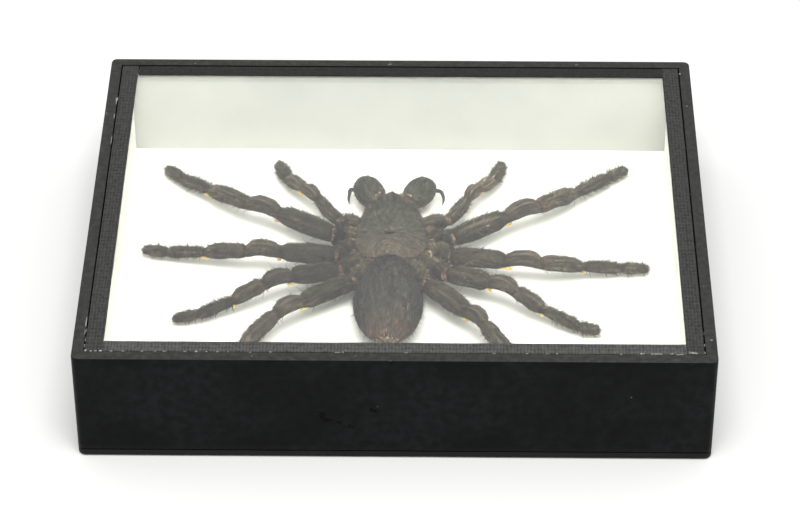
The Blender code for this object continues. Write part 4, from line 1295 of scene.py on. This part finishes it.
def make_small(glue_and_glint, flake_and_glint, dust):
    rng = np.random.default_rng(5)
    skin = Skin()
    for x, y, length, width, turn in GLUE_AND_GLINT_BEADS:
        turn = math.radians(turn)
        pieces = max(1, round(length / max(width, 0.3)))
        for k in range(pieces):
            off = ((k + 0.5) / pieces * 2 - 1) * length
            at = (x + math.cos(turn) * off, y + math.sin(turn) * off + rng.normal(0, 0.03), GLUE_HEIGHT)
            size = width * rng.uniform(0.75, 1.2)
            reach = max(size, length / pieces * 1.15)
            skin.add(*blob(at, (reach, size, 0.32), rng, 16, 8, 0.18, turn))
    skin.build("glue_and_glint_beads", [glue_and_glint], "clear_glass", [])
    skin = Skin()
    for x, y, length, width, turn in NICKS_AND_GLINTS:
        at = (x, y, PAINT_TOP - 0.02)
        skin.add(*blob(at, (length, width, 0.05), rng, 20, 6, 0.35, math.radians(turn)))
    skin.build("paint_nicks_and_glints", [flake_and_glint], "black_paint", [])
    skin = Skin()
    specks = list(SPECKS)
    for _ in range(FINE_SPECKS):
        x, y = (rng.uniform(-reach, reach) for reach in FINE_REACH)
        specks.append((x, y, GLASS_HIGH + 0.01, rng.uniform(0.05, 0.13)))
    for *at, size in specks:
        radii = (size, size * rng.uniform(0.5, 1), size * 0.4)
        skin.add(*blob(at, radii, rng, 9, 5, 0.3, rng.uniform(0, 3)))
    skin.build("dust_specks", [dust], "white_card", [])


# ---- everything ----

def make_animal():
    membrane, amber, horn = membrane_material(), amber_material(), horn_material()
    cuticle = hide_material("cuticle_look", (0.019, 0.019, 0.011), (0.072, 0.058, 0.034), True)
    hair = hide_material("hair_look", (0.028, 0.028, 0.0185), (0.1, 0.083, 0.055), False)
    shield = hide_material("shield_look", (0.029, 0.032, 0.021), (0.076, 0.068, 0.046), True)
    down = hide_material("down_look", (0.031, 0.034, 0.023), (0.087, 0.082, 0.055), False)
    velvet = hide_material("velvet_look", (0.019, 0.021, 0.018), (0.080, 0.068, 0.045), True)
    nap = hide_material("nap_look", (0.026, 0.0285, 0.0255), (0.098, 0.085, 0.060), False)
    silk = glue_material("silk_look", (0.42, 0.38, 0.22), (0.28, 0.27, 0.16))
    # Pale bald skin at the chelicerae's roots, with painted highlights.
    bald = glue_material("bald_and_glint_look", (0.36, 0.25, 0.21), (0.24, 0.155, 0.12))
    limbs = [cuticle, hair, membrane, amber, horn]
    for seed, (name, joints) in enumerate(LEG_JOINTS.items(), 100):
        make_leg(name, joints, limbs, seed)
    for seed, (name, joints) in enumerate(PALP_JOINTS.items(), 200):
        make_palp(name, joints, limbs, seed)
    make_prosoma([shield, down, membrane, amber, horn])
    for seed, name in enumerate(CHELICERAE, 300):
        make_chelicera(name, [shield, down, membrane, bald], seed)
    for name, plan in FANGS.items():
        make_fang(name, plan, [horn, cuticle])
    make_abdomen([velvet, nap, silk])


def make_box():
    rng = np.random.default_rng(3)
    make_frame(paint_material(), rng)
    make_board(board_material())
    # One white card: the wall strips are copies painted darker as painted shade, much darker at front and
    # back and a little at the sides.
    make_cards(card_material("backing_look", (0.935, 0.935, 0.845), (0.955, 0.955, 0.87)),
               card_material("shaded_lining_look", (0.54, 0.55, 0.505), (0.58, 0.59, 0.54), 0.86),
               card_material("side_lining_look", (0.9, 0.9, 0.835), (0.93, 0.93, 0.87)))
    make_glass(glass_material())
    make_tape(tape_material(), rng)
    # The pale glue beads are partly painted glints.
    make_small(glue_material("glue_and_glint_look", (0.34, 0.34, 0.31), (0.07, 0.07, 0.065)),
               glue_material("flake_and_glint_look", (0.3, 0.3, 0.285), (0.16, 0.16, 0.155)),
               glue_material("dust_look", (0.5, 0.49, 0.46), (0.38, 0.37, 0.34)))


def make_studio():
    bpy.ops.mesh.primitive_plane_add(size=GROUND_SIZE, location=(0, 0, GROUND_Z))
    floor = bpy.context.object
    floor.name = "studio_floor"
    floor.data.materials.append(floor_material())
    world = bpy.data.worlds.new("studio")
    world.use_nodes = True
    sky = world.node_tree.nodes["Background"]
    sky.inputs["Color"].default_value = (1.0, 1.0, 1.0, 1.0)
    sky.inputs["Strength"].default_value = SKY_STRENGTH
    bpy.context.scene.world = world
    light = bpy.data.lights.new("overhead", "AREA")
    light.shape = "RECTANGLE"
    light.size, light.size_y = LAMP_SIZE
    light.energy = LAMP_WATTS
    lamp = bpy.data.objects.new("overhead", light)
    lamp.location = LAMP_PLACE
    lamp.rotation_euler = LAMP_PLACE.to_track_quat("Z", "Y").to_euler()
    bpy.context.scene.collection.objects.link(lamp)


def make_camera():
    """The photograph's viewpoint: high in front of the box, with a long lens."""
    pitch, yaw, roll = (math.radians(angle) for angle in CAMERA_TURN)
    forward = Vector((math.sin(yaw) * math.cos(pitch), math.cos(yaw) * math.cos(pitch), -math.sin(pitch)))
    level = Vector((math.cos(yaw), -math.sin(yaw), 0.0))
    lifted = level.cross(forward)
    right = math.cos(roll) * level + math.sin(roll) * lifted
    top = math.cos(roll) * lifted - math.sin(roll) * level
    data = bpy.data.cameras.new("camera")
    data.sensor_fit = "HORIZONTAL"
    data.sensor_width = SENSOR_WIDTH
    data.lens = FOCAL_PIXELS / PHOTO_WIDTH * SENSOR_WIDTH
    camera = bpy.data.objects.new("camera", data)
    turn = Matrix((right, top, -forward)).transposed()
    camera.matrix_world = Matrix.Translation(CAMERA_PLACE) @ turn.to_4x4()
    bpy.context.scene.collection.objects.link(camera)
    bpy.context.scene.camera = camera


bpy.context.scene.view_settings.view_transform = "Standard"
make_box()
make_animal()
make_studio()
make_camera()
